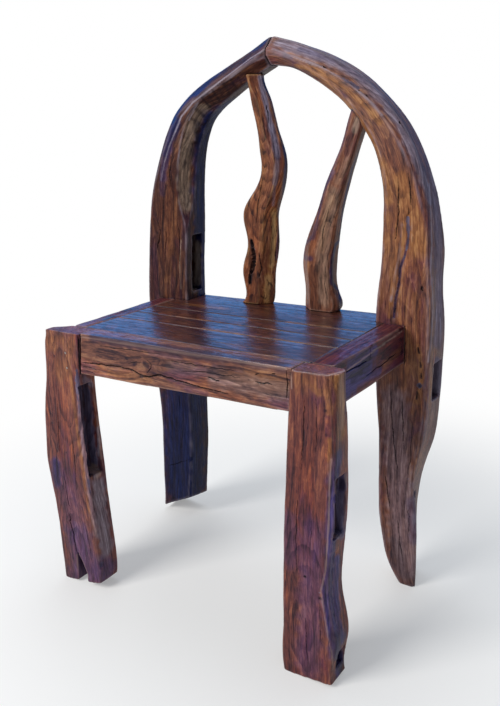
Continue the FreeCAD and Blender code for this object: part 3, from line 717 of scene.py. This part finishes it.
# Marks at picture points: two measures, and then one line of spots or more.
# Cracks: width each side and depth, in millimetres
CRACKS = {
    "left_front_leg": [
        (2, 6, [(78, 335.4), (79, 350), (80.7, 375)]), (1.5, 4, [(69.4, 514), (72, 530), (77, 552)]),
        (0.8, 1.5, [(57, 395), (58, 430), (60, 452)]),
        (0.7, 1.2, [(70, 420), (74, 455), (77, 490)], [(63, 470), (68, 500), (71, 512)]),
        (0.6, 1, [(84, 520), (90, 548), (93, 566)]),
    ],
    "right_front_leg": [
        (0.8, 1.5, [(304, 400), (303, 440), (301, 470)]), (0.6, 1, [(316, 392), (317, 430), (315, 468)]),
        (0.7, 1.2, [(297, 500), (296, 540), (297, 570)]), (0.6, 1, [(311, 520), (310, 556), (307, 574)]),
        (0.7, 1.2, [(305, 615), (306, 640), (309, 668)]), (0.8, 1.6, [(320, 600), (320, 628), (322, 650)]),
        (1.5, 2.5, [(304, 576), (306, 577)]), (1.5, 2, [(319.5, 598)]),
    ],
    "front_rail": [
        (1.5, 3.5, [(81.8, 362.7), (97.5, 363.8), (120, 367.2), (133.6, 370.6), (142.6, 376.2),
            (149.3, 377.3), (160.6, 375), (176.4, 380.7), (201, 387.5), (228, 394.2)]),
        (0.7, 1, [(124.5, 358.2), (133, 357), (143, 357.5)]),
        (0.8, 1.2, [(147, 360), (151, 364), (151, 369), (147, 373)]),
        (0.7, 1, [(128, 364), (136, 362), (141, 363)]),
        (0.8, 1.5, [(82, 366), (90, 367.5), (97, 370)], [(83, 371), (90, 372), (95, 374)]),
        (1.3, 2, [(208, 377.5), (213, 379), (219, 381)]), (1.2, 2, [(255, 382), (263, 383), (271, 384)]),
        (1, 2, [(255.5, 374), (259, 374.4)], [(272, 374), (275, 374.2)]),
        (0.9, 2, [(286.5, 370), (287.6, 384), (287, 398)]),
        (0.7, 1, [(165, 360), (195, 364.5), (235, 371)], [(178, 371), (205, 372), (240, 378)], [(100, 346),
            (130, 350), (160, 354)]),
    ],
    "right_side_rail": [
        (1.3, 2, [(346, 373), (356, 367), (366, 361)]), (0.7, 1, [(370, 344), (370.5, 352), (370, 360)]),
        (1, 2, [(366, 376), (380, 366), (397, 353)]), (1.2, 2.5, [(400, 330), (402, 343), (401, 357)]),
        (2.5, 4, [(402.2, 327), (402.4, 328)]),
    ],
    "left_arch_half": [
        (0.8, 1.5, [(163, 200), (166, 235), (165, 262)], [(171, 160), (170, 176), (172, 192)]),
        (1.2, 2.5, [(157, 218), (160, 232), (158, 248)]), (0.8, 1.5, [(177, 215), (179, 240), (180, 262)]),
        (0.9, 1.5, [(168, 466), (182, 462), (194, 457)]), (0.6, 1, [(179.7, 394), (179.7, 419)]),
    ],
    "right_arch_half": [
        (1.3, 2.5, [(408.8, 208), (407.6, 217.5), (408.3, 231), (407.6, 242), (404.5, 256), (400, 268),
            (399, 283.5), (396, 297), (393.8, 317)]),
        (0.9, 1.8, [(398.4, 174.6), (398.4, 216), (397, 229), (395.3, 239)], [(408.3, 170), (410, 188),
            (410.6, 205)]),
        (1, 2, [(391.2, 385.6), (391.2, 412.5), (393.3, 439), (396, 459), (397.5, 470)], [(385.5, 476),
            (387, 490), (389.8, 507)], [(408.8, 504), (408.8, 520), (408.5, 532.5)]),
        (1.5, 3, [(399.7, 121), (400.5, 124)]), (1.6, 2.5, [(421.8, 286), (422.4, 291)]),
        (1.4, 2, [(418, 348), (419, 353)], [(420, 362), (420.5, 367)], [(421, 374), (421, 378)],
            [(417, 392), (416.5, 399)]), (1.6, 2, [(323, 66), (327, 67.5)]),
        (1.5, 2, [(330, 70), (333, 71.5)], [(351, 83), (353.5, 85.5)], [(358, 89), (360, 91)], [(366, 94.5),
            (368, 96.5)]),
        (0.8, 1.5, [(386, 330), (388, 352), (387, 372)], [(404, 330), (405, 352), (403, 374)], [(412, 420),
            (411, 450), (408, 475)], [(402, 400), (403, 430), (404, 455)], [(398, 520), (400, 545),
            (404, 566)]),
    ],
    "left_back_slat": [
        (1, 2, [(267, 105), (268, 115), (269, 124)]), (3, 4, [(251.5, 239), (252.5, 247)]),
        (5, 7, [(253, 248), (254, 256), (252.8, 264), (251, 274)]), (3, 4, [(250, 274), (249.5, 284)]),
        (1.2, 2, [(259, 253), (262, 268), (258, 282)]), (1, 2, [(266, 292), (270, 296), (268, 302)]),
        (0.8, 1.5, [(272, 218), (273, 242), (271, 265)], [(276, 222), (276, 250), (275, 272)], [(262, 180),
            (258, 205), (256, 228)]),
    ],
    "right_back_slat": [
        (0.8, 1.5, [(330, 205), (323, 232), (322, 262)]),
        (0.7, 1.2, [(322, 200), (313, 225), (309, 250)], [(326, 262), (325, 285), (328, 305)]),
    ],
    "seat_board_1": [
        (0.7, 0.8, [(110, 337), (135, 341), (160, 344)]), (0.6, 0.7, [(205, 340), (240, 346), (270, 351)]),
    ],
    "seat_board_3": [
        (0.6, 0.7, [(150, 318), (175, 322), (205, 326)]),
    ],
    "seat_board_4": [
        (0.7, 0.8, [(165, 303), (200, 307), (225, 311)]), (0.6, 0.7, [(270, 318), (300, 323), (325, 327)]),
        (2, 5, [(127, 311), (131.5, 311.5), (136, 312)]),
    ],
}

# Hollows, and swellings where the depth is negative: radius and depth, in millimetres
DENTS = {
    "left_front_leg": [
        (14, 1.2, [(46, 335), (62, 337), (76, 335)]),
        (11, 1.3, [(75, 350), (77, 392), (80.5, 421), (83, 443), (86, 465), (88.5, 488), (93.5, 516),
            (98, 535)]), (12, 2, [(118, 577)]), (5, 1, [(54, 356)]), (5, 0.8, [(52, 423)], [(57, 451)]),
    ],
    "right_front_leg": [
        (14, 1, [(292, 370), (310, 372.5), (327, 375)]), (10, 0.8, [(337, 470), (336, 505), (335, 540)]),
        (15, 1.8, [(335, 556), (333, 575), (332, 592), (334, 610), (337, 630)]), (9, 0.8, [(298, 595)]),
        (5, 0.8, [(325.6, 411)]),
    ],
    "front_rail": [
        (9, -1.2, [(144.8, 363.8)]), (5, 1.2, [(145, 364)]), (5, 1, [(141.4, 376.2)]),
    ],
    "right_side_rail": [
        (6, 3, [(402, 326)]),
    ],
    "left_arch_half": [
        (13, -2.5, [(196, 127), (195, 138)]), (6, 1.5, [(197, 132)]), (8, 0.8, [(169.5, 170)]),
        (12, 1.5, [(190, 160), (188, 190)]),
    ],
    "right_arch_half": [
        (6, 1.6, [(407.6, 217.5), (408.3, 231), (407.6, 242), (404.5, 256), (400, 268), (399, 283.5),
            (396, 297), (393.8, 317)]), (6, -1, [(402, 225), (400, 250), (395, 275), (391, 300)]),
        (9, 4, [(415, 494)]), (7, 1.5, [(419, 386)]), (9, 1.2, [(328, 68), (358, 88)]),
    ],
    "left_back_slat": [
        (12, -1.5, [(262, 280), (268, 292), (270, 300)]),
        (8, 1.5, [(274, 218), (274, 240), (273, 262)], [(252, 245), (252, 270)]),
    ],
    "right_back_slat": [
        (14, 1, [(327, 225), (325, 260)]),
    ],
}

# Tones: radius in millimetres and strength. A negative strength takes a tone away,
# and matt is where feet and hands have worn the lacquer off. Much of this is painted light:
# the cool blue is painted sky reflection and shade, the rubbed tone is wear and painted highlight,
# and some pale and dark strokes are a painted sheen and painted shade.
TONES = {
    # Painted on the left front leg: shade and blue on the pocket's far wall, pale dust with painted light on
    # its sill, and a blue of sky light low on the leg
    "left_front_leg": {
        "gold": [(26, 0.35, [(50, 342), (70, 346), (60, 372)]),
            (5, 0.45, [(67, 340), (72.6, 392), (77.6, 432), (82.7, 465), (84.9, 487.7), (90.6, 516),
                (95.3, 534.7)])],
        "pale": [(8, 0.45, [(77, 380), (80.5, 421), (83, 443), (86, 465), (88.5, 488), (93.5, 516),
                (98, 535)]), (20, 0.9, [(98, 486), (102, 520), (107, 550)]),
            (14, 1, [(87, 392), (90, 430), (94, 462)]), (9, 1, [(92, 468), (96, 475)]),
            (9, 0.7, [(85, 380), (90, 384)]), (5, 0.9, [(98.5, 428), (98.5, 455)])],
        "cool": [(45, 0.62, [(78, 535), (86, 570), (105, 572)]), (45, 0.32, [(66, 480), (74, 520)]),
            (17, 0.85, [(56, 463), (57, 482)]), (14, 0.5, [(87, 392), (90, 430), (94, 462)]),
            (9, -0.7, [(92, 468), (96, 475)]), (14, -0.6, [(92, 466), (98, 474)])],
        "dark": [(13, 0.45, [(56, 465), (57, 480)]), (3, 0.9, [(54, 356)]),
            (3, 0.8, [(52, 423)], [(57, 451)]), (2.5, 0.8, [(66, 452.6)]), (2.2, 0.9, [(62.5, 331.4)]),
            (12, 0.3, [(87, 392), (90, 430), (94, 462)]), (9, -0.9, [(92, 468), (96, 475)]),
            (14, -0.9, [(92, 466), (98, 474)]), (9, -0.6, [(85, 380), (90, 384)]),
            (5, -0.7, [(98.5, 428), (98.5, 455)])],
        "wear_and_highlight": [(4, 0.5, [(98, 410), (99, 435), (101, 458)]),
            (18, 0.22, [(98, 486), (102, 520), (107, 550)]), (12, 0.9, [(92, 468), (98, 474)])],
    },
    # Painted on the right front leg: the blue of sky reflection and shade along its side, shade in the pocket,
    # and wear with a painted highlight along its top and front edge
    "right_front_leg": {
        "gold": [(24, 0.3, [(300, 380), (325, 384)]), (14, 1, [(339, 380), (341, 405), (341, 435)]),
            (8, 0.5, [(304, 380), (318, 392), (328, 393), (329, 412)]),
            (12, -0.9, [(342, 478), (341, 490)]), (5, 0.7, [(330, 440), (330, 470), (330, 500)])],
        "wear_and_highlight": [(9, 0.3, [(341, 382), (342, 405), (342, 425)]),
            (1.8, 0.45, [(331.2, 459), (329.3, 492), (328.8, 520), (326.5, 557), (325.5, 571.6), (321, 591),
                (324.3, 612), (327.8, 634.7), (331.8, 652), (333, 669)]),
            (2.4, 0.9, [(292, 369.8), (310, 372.5), (327.7, 374.8), (336, 373), (344.2, 370.4)]),
            (1.6, 0.7, [(291, 370), (291.5, 388)])],
        "dark": [(7, 0.7, [(342, 481), (342, 488)]), (10, 0.25, [(340, 490), (340, 532)]),
            (2.8, 0.8, [(325.6, 411)], [(326, 435)]), (3, 0.8, [(305, 576.5)]), (4, 0.8, [(320, 598)]),
            (5, -0.7, [(337, 537), (343, 536)]), (14, 0.6, [(342, 664), (340, 680)])],
        "cool": [(10, 0.5, [(340, 490), (340, 532)]), (9, 0.7, [(342, 478), (341, 490)]),
            (15, 0.9, [(339, 456), (334, 492), (333.5, 520), (332, 557), (331, 572), (327, 591), (330, 612),
                (333, 634.7), (337, 652), (339, 675)]),
            (13, 0.85, [(337, 560), (336, 590), (338, 620), (343, 640)]),
            (30, 0.42, [(312, 530), (310, 600), (308, 665)]), (22, 0.35, [(288, 520), (290, 560)]),
            (34, 0.45, [(290, 380), (288, 400)])],
        "pale": [(12, 1, [(342, 478), (340, 490), (340, 532)]), (2.2, 1, [(319.5, 592.5)]),
            (5, 0.8, [(337, 537), (343, 536)])],
    },
    # Painted on the front rail: a dark band with a painted blue sky reflection along its top, and wear with a
    # painted highlight along its top edge
    "front_rail": {
        "dark": [(7, 0.9, [(144.8, 363.8), (147, 366)]), (3, 0.7, [(126, 358.5), (140, 357.5)]),
            (4.5, 0.9, [(141.4, 376.2)]), (3, 0.6, [(172, 361), (178, 363)]),
            (3, 0.5, [(196, 377), (204, 379)], [(243, 387), (252, 389)]),
            (15, 0.55, [(92, 335.5), (185, 350), (285, 365)]),
            (9, 0.35, [(122, 362), (150, 367), (166, 374)]), (7, 0.4, [(84, 368), (94, 370)])],
        "cool": [(15, 0.5, [(92, 335.5), (185, 350), (285, 365)]), (9, 0.35, [(150, 352), (180, 357)]),
            (8, 0.3, [(215, 366), (240, 370)])],
        "gold": [(20, 0.45, [(225, 372), (255, 378), (283, 386)]), (9, 0.35, [(110, 372), (150, 380)])],
        "pale": [(22, 0.4, [(215, 378), (250, 384), (283, 392)]), (12, 0.25, [(170, 366), (230, 376)])],
        "wear_and_highlight": [(2.4, 0.6, [(82, 337), (130, 344.5), (180, 352.6), (230, 360.4), (286, 368.6)])],
    },
    # Painted on the right side rail: the blue of sky reflection and shade on its side, and wear with a painted
    # highlight along its edge
    "right_side_rail": {
        "cool": [(36, 1, [(350, 385), (355, 372), (366, 366)]), (14, 0.9, [(350, 365), (375, 350)]),
            (9, 0.6, [(366, 378), (380, 371)])],
        "dark": [(7, 0.6, [(352, 380), (362, 372)])],
        "wear_and_highlight": [(2, 0.6, [(347, 371), (375, 350), (402, 331)])],
        "gold": [(9, 0.35, [(384, 364), (400, 351)])],
        "matt": [(45, 0.55, [(320, 364), (350, 350), (390, 330)])],
    },
    # Painted on the left arch half: a highlight along the ridge, the sky's blue reflection on the top bevel,
    # blue shade on the inner curve, and dark blue shade under the seat on the rear leg
    "left_arch_half": {
        "wear_and_highlight": [(2.4, 0.75, [(270.3, 46.4), (251.4, 57.6), (229, 74.4), (192.6, 102.4), (181.4, 116.4),
                (175, 132)]), (2, 0.45, [(175, 132), (168.8, 147.6), (164.5, 162)]),
            (1.6, 0.25, [(164.5, 162), (161, 180)]), (2, 0.5, [(198, 103), (194, 110), (189, 120)])],
        "cool": [(16, 0.9, [(263, 43), (245, 54), (230, 63), (213, 75), (196, 89), (185, 101), (176, 114),
                (168, 128)]), (13, 0.7, [(168, 128), (162, 142), (157, 155)]),
            (12, 0.5, [(157, 155), (154, 168), (152.5, 180)]), (12, 0.3, [(152.5, 180), (151, 194)]),
            (24, 1, [(230, 103), (212, 118), (203, 140), (201, 165), (200, 190), (200, 215), (200, 232)]),
            (20, 1, [(203, 236), (204, 262), (203, 292)]), (12, -0.7, [(198, 245), (198, 282)]),
            (80, 0.97, [(185, 400), (183, 430), (182, 485)])],
        "pale": [(17, 0.42, [(203, 108), (193, 125), (187, 145), (185, 170), (184, 190), (186, 205)]),
            (8, 0.3, [(199, 112), (190, 130), (186, 150), (185, 175)]), (12, 1, [(198, 245), (198, 282)]),
            (8, 0.3, [(197, 272), (198, 287)]), (1.6, 0.35, [(181, 240), (179.5, 265), (181, 289)]),
            (1.2, 0.8, [(179.7, 394), (179.7, 419)])],
        "gold": [(10, 0.12, [(176, 200), (172, 240), (168, 280)])],
        "dark": [(14, 0.3, [(208, 100), (230, 86)]), (8, 0.6, [(196, 122), (197, 144)]),
            (3, 0.85, [(169.5, 170)]), (3, 0.8, [(157, 233)]),
            (20, 0.4, [(214, 116), (204, 140), (202, 165), (201, 190), (201, 215), (201, 232)]),
            (9, 0.15, [(198, 245), (198, 282)]), (4.5, 0.55, [(192, 119), (201, 124)]),
            (4.5, 0.6, [(196, 109), (204, 116)]), (4, 0.7, [(202, 98), (210, 107)]),
            (3.5, 0.55, [(208, 95), (214, 103)]), (4.5, 0.7, [(213, 91), (219, 100)]),
            (3.5, 0.5, [(219, 88), (223, 96)]), (4.5, 0.65, [(224, 84), (229, 93)]),
            (4, 0.55, [(231, 80), (236, 88)]), (3.5, 0.45, [(238, 77), (242, 84)]),
            (80, 0.35, [(185, 400), (183, 430), (182, 485)])],
    },
    # Painted on the right arch half: highlights along the top and side ridges, a pale sheen of sky reflection
    # on the top bevel and outer side, a faint blue of sky reflection on the side, and blue shade in the long
    # groove
    "right_arch_half": {
        "wear_and_highlight": [(2.6, 0.55, [(272.6, 48.9), (299, 58.4), (321.7, 66.9), (340.6, 77.3), (355.7, 88.6),
                (370.9, 101.8), (382.2, 115)]),
            (3, 0.62, [(429, 184), (430.6, 208), (431.3, 227), (432, 243.6), (430.6, 268), (432, 286.6),
                (432.9, 308), (432, 323), (430.6, 346), (428.3, 362)])],
        "pale": [(15, 0.85, [(281, 43), (300, 50), (321, 56), (346, 67), (367, 81), (387, 102), (402, 125),
                (414, 150), (423, 175), (430, 200)]),
            (24, 0.7, [(434, 176), (436, 200), (438, 227), (439, 268), (439, 308), (438, 340)]),
            (2, 1, [(408.4, 479)]), (34, 0.5, [(394, 400), (398, 460), (400, 500), (402, 540), (405, 570)]),
            (12, 1, [(437, 360), (436.5, 390)])],
        "cool": [(8, 0.4, [(300, 49), (340, 62), (372, 84), (396, 112)]),
            (2.6, 0.4, [(407.6, 217.5), (408.3, 231), (407.6, 240)]),
            (3.6, 0.75, [(407.6, 240), (404.5, 256), (400, 268), (399, 283.5), (396, 297), (393.8, 317)]),
            (44, 0.22, [(430, 160), (437, 190), (440, 227), (441, 268), (442, 308), (441, 350), (438, 400),
                (432, 435)]), (14, 0.5, [(412, 500), (414, 540)])],
        "gold": [(7, 0.8, [(296, 66), (312, 69), (331, 78), (350, 92), (367, 107), (379, 122)]),
            (14, 0.7, [(300, 72), (330, 88), (352, 108), (370, 135), (382, 165), (388, 200)]),
            (16, 0.5, [(386, 220), (384, 260), (380, 300)]),
            (5, 0.7, [(403, 218), (403.5, 231), (403, 242), (400, 256), (395.5, 268), (394.5, 283.5),
                (391.5, 297), (389.5, 317)]), (20, 0.45, [(398, 180), (404, 210), (396, 260), (392, 310)]),
            (7, 0.6, [(417, 345), (421, 366), (420, 384), (417, 402)]),
            (30, 0.35, [(394, 400), (398, 460), (400, 500), (402, 540), (405, 570)]),
            (7, 0.6, [(389, 410), (389, 430)]), (24, 0.65, [(400, 180), (412, 215), (418, 250)]),
            (18, 0.35, [(412, 300), (414, 345), (410, 400)]),
            (16, 0.3, [(390, 400), (392, 440), (396, 480)])],
        "dark": [(2.6, 0.6, [(407.6, 222), (408.3, 231), (407.6, 242), (404.5, 256), (400, 268),
                (399, 283.5), (396, 297), (394.3, 312)]),
            (2, 0.6, [(431.5, 184), (433, 208), (434, 227), (434.5, 243.6), (433.5, 268), (434.5, 286.6),
                (435.4, 308), (434.5, 323), (433, 346), (431, 362)]),
            (2.6, 0.9, [(418, 348), (419, 353)], [(420, 362), (420.5, 367)], [(421, 374), (421, 378)]),
            (4.5, 0.8, [(418.5, 386)]), (2.6, 0.9, [(417, 392), (416.5, 399)]),
            (2.2, 0.7, [(416, 410), (415, 416)]), (3, 0.7, [(422, 288)]),
            (24, 0.5, [(396, 545), (402, 570), (410, 584)]), (9, 0.15, [(437, 360), (436.5, 390)])],
    },
    # Painted on the left back slat: blue shade along its right side
    "left_back_slat": {
        "pale": [(7, 1, [(260.5, 78), (268, 113), (274.5, 140), (277.5, 156)]),
            (6, 0.6, [(277.5, 156), (276.5, 170), (275, 184)]), (4, 0.35, [(275, 184), (273, 205)]),
            (1.6, 1, [(254, 249)], [(251, 277)])],
        "cool": [(7, 0.3, [(260.5, 78), (268, 113), (274.5, 140), (278, 158)]),
            (8, 0.9, [(266, 80), (276, 113), (284, 143), (287, 160), (284, 190), (281, 215)]),
            (5, 0.6, [(281, 215), (280, 240), (278, 262)])],
        "gold": [(8, 0.25, [(256, 100), (262, 130), (265, 160), (262, 185), (256, 210)]),
            (11, 0.9, [(269, 276), (267, 288), (266, 303)]), (9, 1, [(274, 210), (274, 240), (272, 268)]),
            (10, 0.45, [(264, 215), (262, 250)])],
        "wear_and_highlight": [(9, 0.38, [(269, 278), (267, 290), (267, 301)]),
            (6, 0.6, [(274, 214), (274, 240), (272, 266)])],
        "dark": [(2.5, 0.8, [(262, 287), (266, 289)]),
            (2, 0.9, [(267, 280), (269, 283), (267, 286)], [(265, 292), (267, 296), (265, 299)]),
            (1.6, 0.8, [(275, 222), (274, 240), (275, 256)]),
            (2.5, 0.8, [(270, 283), (272, 286)], [(261, 296), (264, 298)]),
            (2.5, 0.7, [(270, 294), (269, 299)]), (4, 0.8, [(265, 152)]),
            (5.5, 1, [(251.5, 240), (253, 250), (254, 258), (252, 268), (250, 282)]),
            (6, 0.4, [(259, 275), (257, 292)])],
    },
    "seat_board_1": {
        "dark": [(9, 0.75, [(168, 344), (200, 349), (225, 352)]), (11, 0.85, [(97, 336), (110, 338)]),
            (8, 0.6, [(140, 340), (154, 342)])],
        "matt": [(9, 0.6, [(168, 344), (200, 349), (225, 352)]), (9, 0.9, [(90, 331.5), (104, 333)]),
            (8, 0.8, [(118, 334), (134, 337)]), (45, 0.55, [(250, 347), (300, 356), (340, 362)])],
        "gold": [(7, 0.5, [(240, 352), (275, 357)])],
    },
    "seat_board_2": {
        "dark": [(10, 0.6, [(170, 330), (200, 334)]), (9, 0.75, [(116, 325), (128, 326.5)])],
        "matt": [(9, 0.9, [(104, 321), (117, 322.5)]), (6, 0.7, [(130, 324), (160, 328)]),
            (45, 0.55, [(230, 335), (290, 345), (350, 355)])],
        "gold": [(8, 0.5, [(205, 328), (240, 334)]), (7, 0.4, [(275, 341), (310, 347)])],
    },
    "seat_board_3": {
        "matt": [(8, 0.9, [(120, 313), (132, 314.5)]), (6, 0.7, [(135, 316), (165, 320)]),
            (45, 0.55, [(200, 322), (270, 333), (350, 345)])],
        "gold": [(8, 0.5, [(170, 318), (205, 323)])],
        "dark": [(7, 0.5, [(230, 328), (260, 332)])],
    },
    "left_side_rail": {
        "matt": [(8, 0.8, [(90, 326), (100, 322)]), (8, 0.9, [(116, 314), (124, 311)])],
        "dark": [(8, 0.8, [(104, 320), (114, 316)]), (6, 0.9, [(124, 311), (138, 304)])],
    },
    "seat_board_4": {
        "matt": [(9, 0.9, [(132, 305.5), (144, 307)]),
            (45, 0.55, [(170, 306), (230, 312), (300, 322), (370, 332)])],
        "gold": [(10, 0.45, [(185, 304), (225, 309)]), (9, 0.4, [(290, 322), (330, 327)])],
        "dark": [(8, 0.5, [(150, 307), (175, 310)])],
    },
    # Painted on the right back slat: blue shade and sky reflection along its sides
    "right_back_slat": {
        "cool": [(7, 0.6, [(333, 172), (320, 198), (311, 223), (305, 248), (303, 262)]),
            (6, 0.95, [(368, 130), (352, 170), (344, 205), (340, 235), (338, 262), (339, 290), (341, 304)])],
        "gold": [(6, 0.35, [(308, 262), (306, 285), (307, 300)]),
            (8, 0.4, [(333, 195), (324, 225), (322, 250)])],
        "pale": [(7, 0.6, [(357, 120), (355, 130)]),
            (17, 0.36, [(334, 195), (327, 225), (323, 255), (324, 300)]),
            (9, 0.2, [(347, 160), (338, 182)])],
        "dark": [(3, 0.7, [(334, 217)])],
    },
}

# Knots, which the grain flows round: radius, length and place
KNOTS = {
    "left_front_leg": [(7, 22, (54, 356)), (6, 20, (52, 423)), (6, 20, (57, 451))],
    "right_front_leg": [(9, 30, (298, 595)), (6, 30, (325.6, 411)), (6, 25, (326, 435)), (5, 18, (320, 598))],
    "front_rail": [(11, 30, (144.8, 363.8)), (6, 18, (141.4, 376.2)), (5, 18, (262, 383))],
    "left_arch_half": [(9, 26, (169.5, 170)), (8, 25, (157, 233)), (10, 25, (196, 132))],
    "right_arch_half": [(8, 26, (418, 386)), (6, 22, (422, 288)), (6, 22, (399.7, 122))],
    "left_back_slat": [(6, 18, (265, 152)), (9, 22, (268, 297)), (6, 20, (251.7, 260))],
    "right_back_slat": [(5, 16, (334, 217))],
}


def strokes(entries):
    """Two measures and a line of spots for each line in a table's entries."""
    return [(*entry[:2], spots) for entry in entries for spots in entry[2:]]


for name, (material, slot, axes, seed, voxel, passes, wave, line) in TIMBERS.items():
    timber = Timber(name, line, axes, seed, voxel, passes)
    cracks = [(width, depth, timber.cast(spots, CRACK_STEP, CRACK_SWAY))
              for width, depth, spots in strokes(CRACKS.get(name, []))]
    dents = [(radius, depth, timber.cast(spots)) for radius, depth, spots in strokes(DENTS.get(name, []))]
    tones = [(tone, radius, amount, timber.cast(spots)) for tone, entries in TONES.get(name, {}).items()
             for radius, amount, spots in strokes(entries)]
    timber.knots = [(timber.cast([spot])[0], radius, length) for radius, length, spot in KNOTS.get(name, [])]
    timber.refine([crack_line for _, _, crack_line in cracks], REFINE_REACH, REFINE_ROUNDS)
    timber.begin()
    timber.hew(wave, RIPPLE)
    for radius, depth, dent_line in dents:
        timber.dent(dent_line, radius, depth)
    timber.age(SEAT_RIDGE_WEAR_AND_HIGHLIGHT if material is SEAT else TIMBER_RIDGE_WEAR_AND_HIGHLIGHT, HOLLOW_SHADE_AND_JOINTS)
    if name in MORTISED:
        timber.shade(MORTISE_REACH)
    for width, depth, crack_line in cracks:
        timber.crack(crack_line, width, depth)
    for tone, radius, amount, tone_line in tones:
        timber.paint(tone, tone_line, radius, amount)
    timber.finish(material)

steel = bpy.data.materials.new("steel")
steel.use_nodes = True
steel_shader = steel.node_tree.nodes["Principled BSDF"]
steel_shader.inputs["Metallic"].default_value = 1.0
steel_shader.inputs["Base Color"].default_value = (0.32, 0.28, 0.25, 1)
steel_shader.inputs["Roughness"].default_value = 0.45
for material, names in (
    (INNER, ("left_seat_cleat", "right_seat_cleat", "apex_tongue")),
    (steel, ("front_rail_pins", "cleat_screws")),
):
    for name in names:
        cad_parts[name].data.materials.clear()
        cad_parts[name].data.materials.append(material)


def background_share(tree):
    """1 for the rays that show the background: from the camera, or off or through the object."""
    path = add_node(tree, "LightPath")
    share = path["Is Camera Ray"]
    for name in ("Is Glossy Ray", "Is Transmission Ray"):
        share = add_node(tree, "Math", (0, share), (1, path[name]), operation="MAXIMUM")[0]
    return share


def stage_piece(name, corners, faces):
    """A piece of the stage, and the node tree of its material."""
    mesh = bpy.data.meshes.new(name)
    mesh.from_pydata(corners, [], faces)
    material = bpy.data.materials.new(name)
    mesh.materials.append(material)
    return show(name, mesh), empty_tree(material)


WHITE = (1, 1, 1, 1)

# Floor, white far off in the camera's view and shadowed near the chair
FLOOR_REACH = 30
FLOOR_COLOUR = (0.86, 0.86, 0.86, 1)
WHITE_START = 0.25           # metres from the middle where the floor begins to turn white
WHITE_FULL = 1.1
NEAR_WHITE = 0.3             # share of white under the chair
floor, tree = stage_piece(
    "floor",
    [(-FLOOR_REACH, -FLOOR_REACH, 0), (FLOOR_REACH, -FLOOR_REACH, 0),
     (FLOOR_REACH, FLOOR_REACH, 0), (-FLOOR_REACH, FLOOR_REACH, 0)],
    [(0, 1, 2, 3)])
pale = add_node(tree, "BsdfDiffuse", (0, FLOOR_COLOUR))[0]
white = add_node(tree, "Emission", (0, WHITE))[0]
where = add_node(tree, "NewGeometry")["Position"]
far = add_node(tree, "VectorMath", (0, where), operation="LENGTH")["Value"]
reach = add_node(tree, "MapRange", (0, far), (1, WHITE_START), (2, WHITE_FULL), (3, NEAR_WHITE),
                 interpolation_type="SMOOTHSTEP")[0]
both = add_node(tree, "Math", (0, background_share(tree)), (1, reach), operation="MULTIPLY")[0]
mixed = add_node(tree, "MixShader", (0, both), (1, pale), (2, white))[0]
add_node(tree, "OutputMaterial", (0, mixed))

# Backdrop all round, grey low down and blue above, which only the wood's gloss mirrors
DROP_RADIUS = 7.0
DROP_FOOT = 0.02
DROP_HEIGHT = 6.5
DROP_SIDES = 48
DROP_GREY_TOP = 0.8
DROP_BLUE_FOOT = 1.7
DROP_GREY = (0.24, 0.26, 0.30, 1)
DROP_BLUE = (0.09, 0.39, 1.0, 1)
ring = [(math.cos(a) * DROP_RADIUS, math.sin(a) * DROP_RADIUS)
        for a in (2 * math.pi * i / DROP_SIDES for i in range(DROP_SIDES))]
drop, tree = stage_piece(
    "backdrop", [(x, y, z) for z in (DROP_FOOT, DROP_HEIGHT) for x, y in ring],
    [(i, (i + 1) % DROP_SIDES, DROP_SIDES + (i + 1) % DROP_SIDES, DROP_SIDES + i) for i in range(DROP_SIDES)])
drop.visible_camera = False
drop.visible_diffuse = False
drop.visible_transmission = False
drop.visible_shadow = False
where = add_node(tree, "SeparateXYZ", (0, add_node(tree, "NewGeometry")["Position"]))
climb = add_node(tree, "MapRange", (0, where["Z"]), (1, DROP_GREY_TOP), (2, DROP_BLUE_FOOT),
                 interpolation_type="SMOOTHSTEP")[0]
tint = add_node(tree, "Mix", (0, climb), (6, DROP_GREY), (7, DROP_BLUE), data_type="RGBA")[2]
glow = add_node(tree, "Emission", (0, tint))[0]
add_node(tree, "OutputMaterial", (0, glow))

# World: soft light, white where the camera looks past the floor
SOFT_COLOUR = (0.74, 0.86, 1.0, 1)
SOFT_STRENGTH = 0.30
world = bpy.data.worlds.new("world")
bpy.context.scene.world = world
tree = empty_tree(world)
soft = add_node(tree, "Background", (0, SOFT_COLOUR), (1, SOFT_STRENGTH))[0]
plain = add_node(tree, "Background", (0, WHITE))[0]
mixed = add_node(tree, "MixShader", (0, background_share(tree)), (1, soft), (2, plain))[0]
add_node(tree, "OutputWorld", (0, mixed))


def lamp(name, spot, target, size, power, colour):
    """A soft square lamp that faces a target."""
    data = bpy.data.lights.new(name, "AREA")
    data.size = size
    data.energy = power
    data.color = colour
    made = show(name, data)
    made.location = spot
    made.rotation_euler = (Vector(target) - Vector(spot)).to_track_quat("-Z", "Y").to_euler()
    made.visible_camera = False


lamp("key", (-1.2, -2.6, 2.3), (0, 0, 0.45), 1.6, 110, (1.0, 0.97, 0.92))
lamp("top", (-0.4, 0.9, 3.2), (0, 0, 0.5), 2.2, 35, (0.90, 0.95, 1.0))

bpy.context.scene.view_settings.view_transform = "Standard"
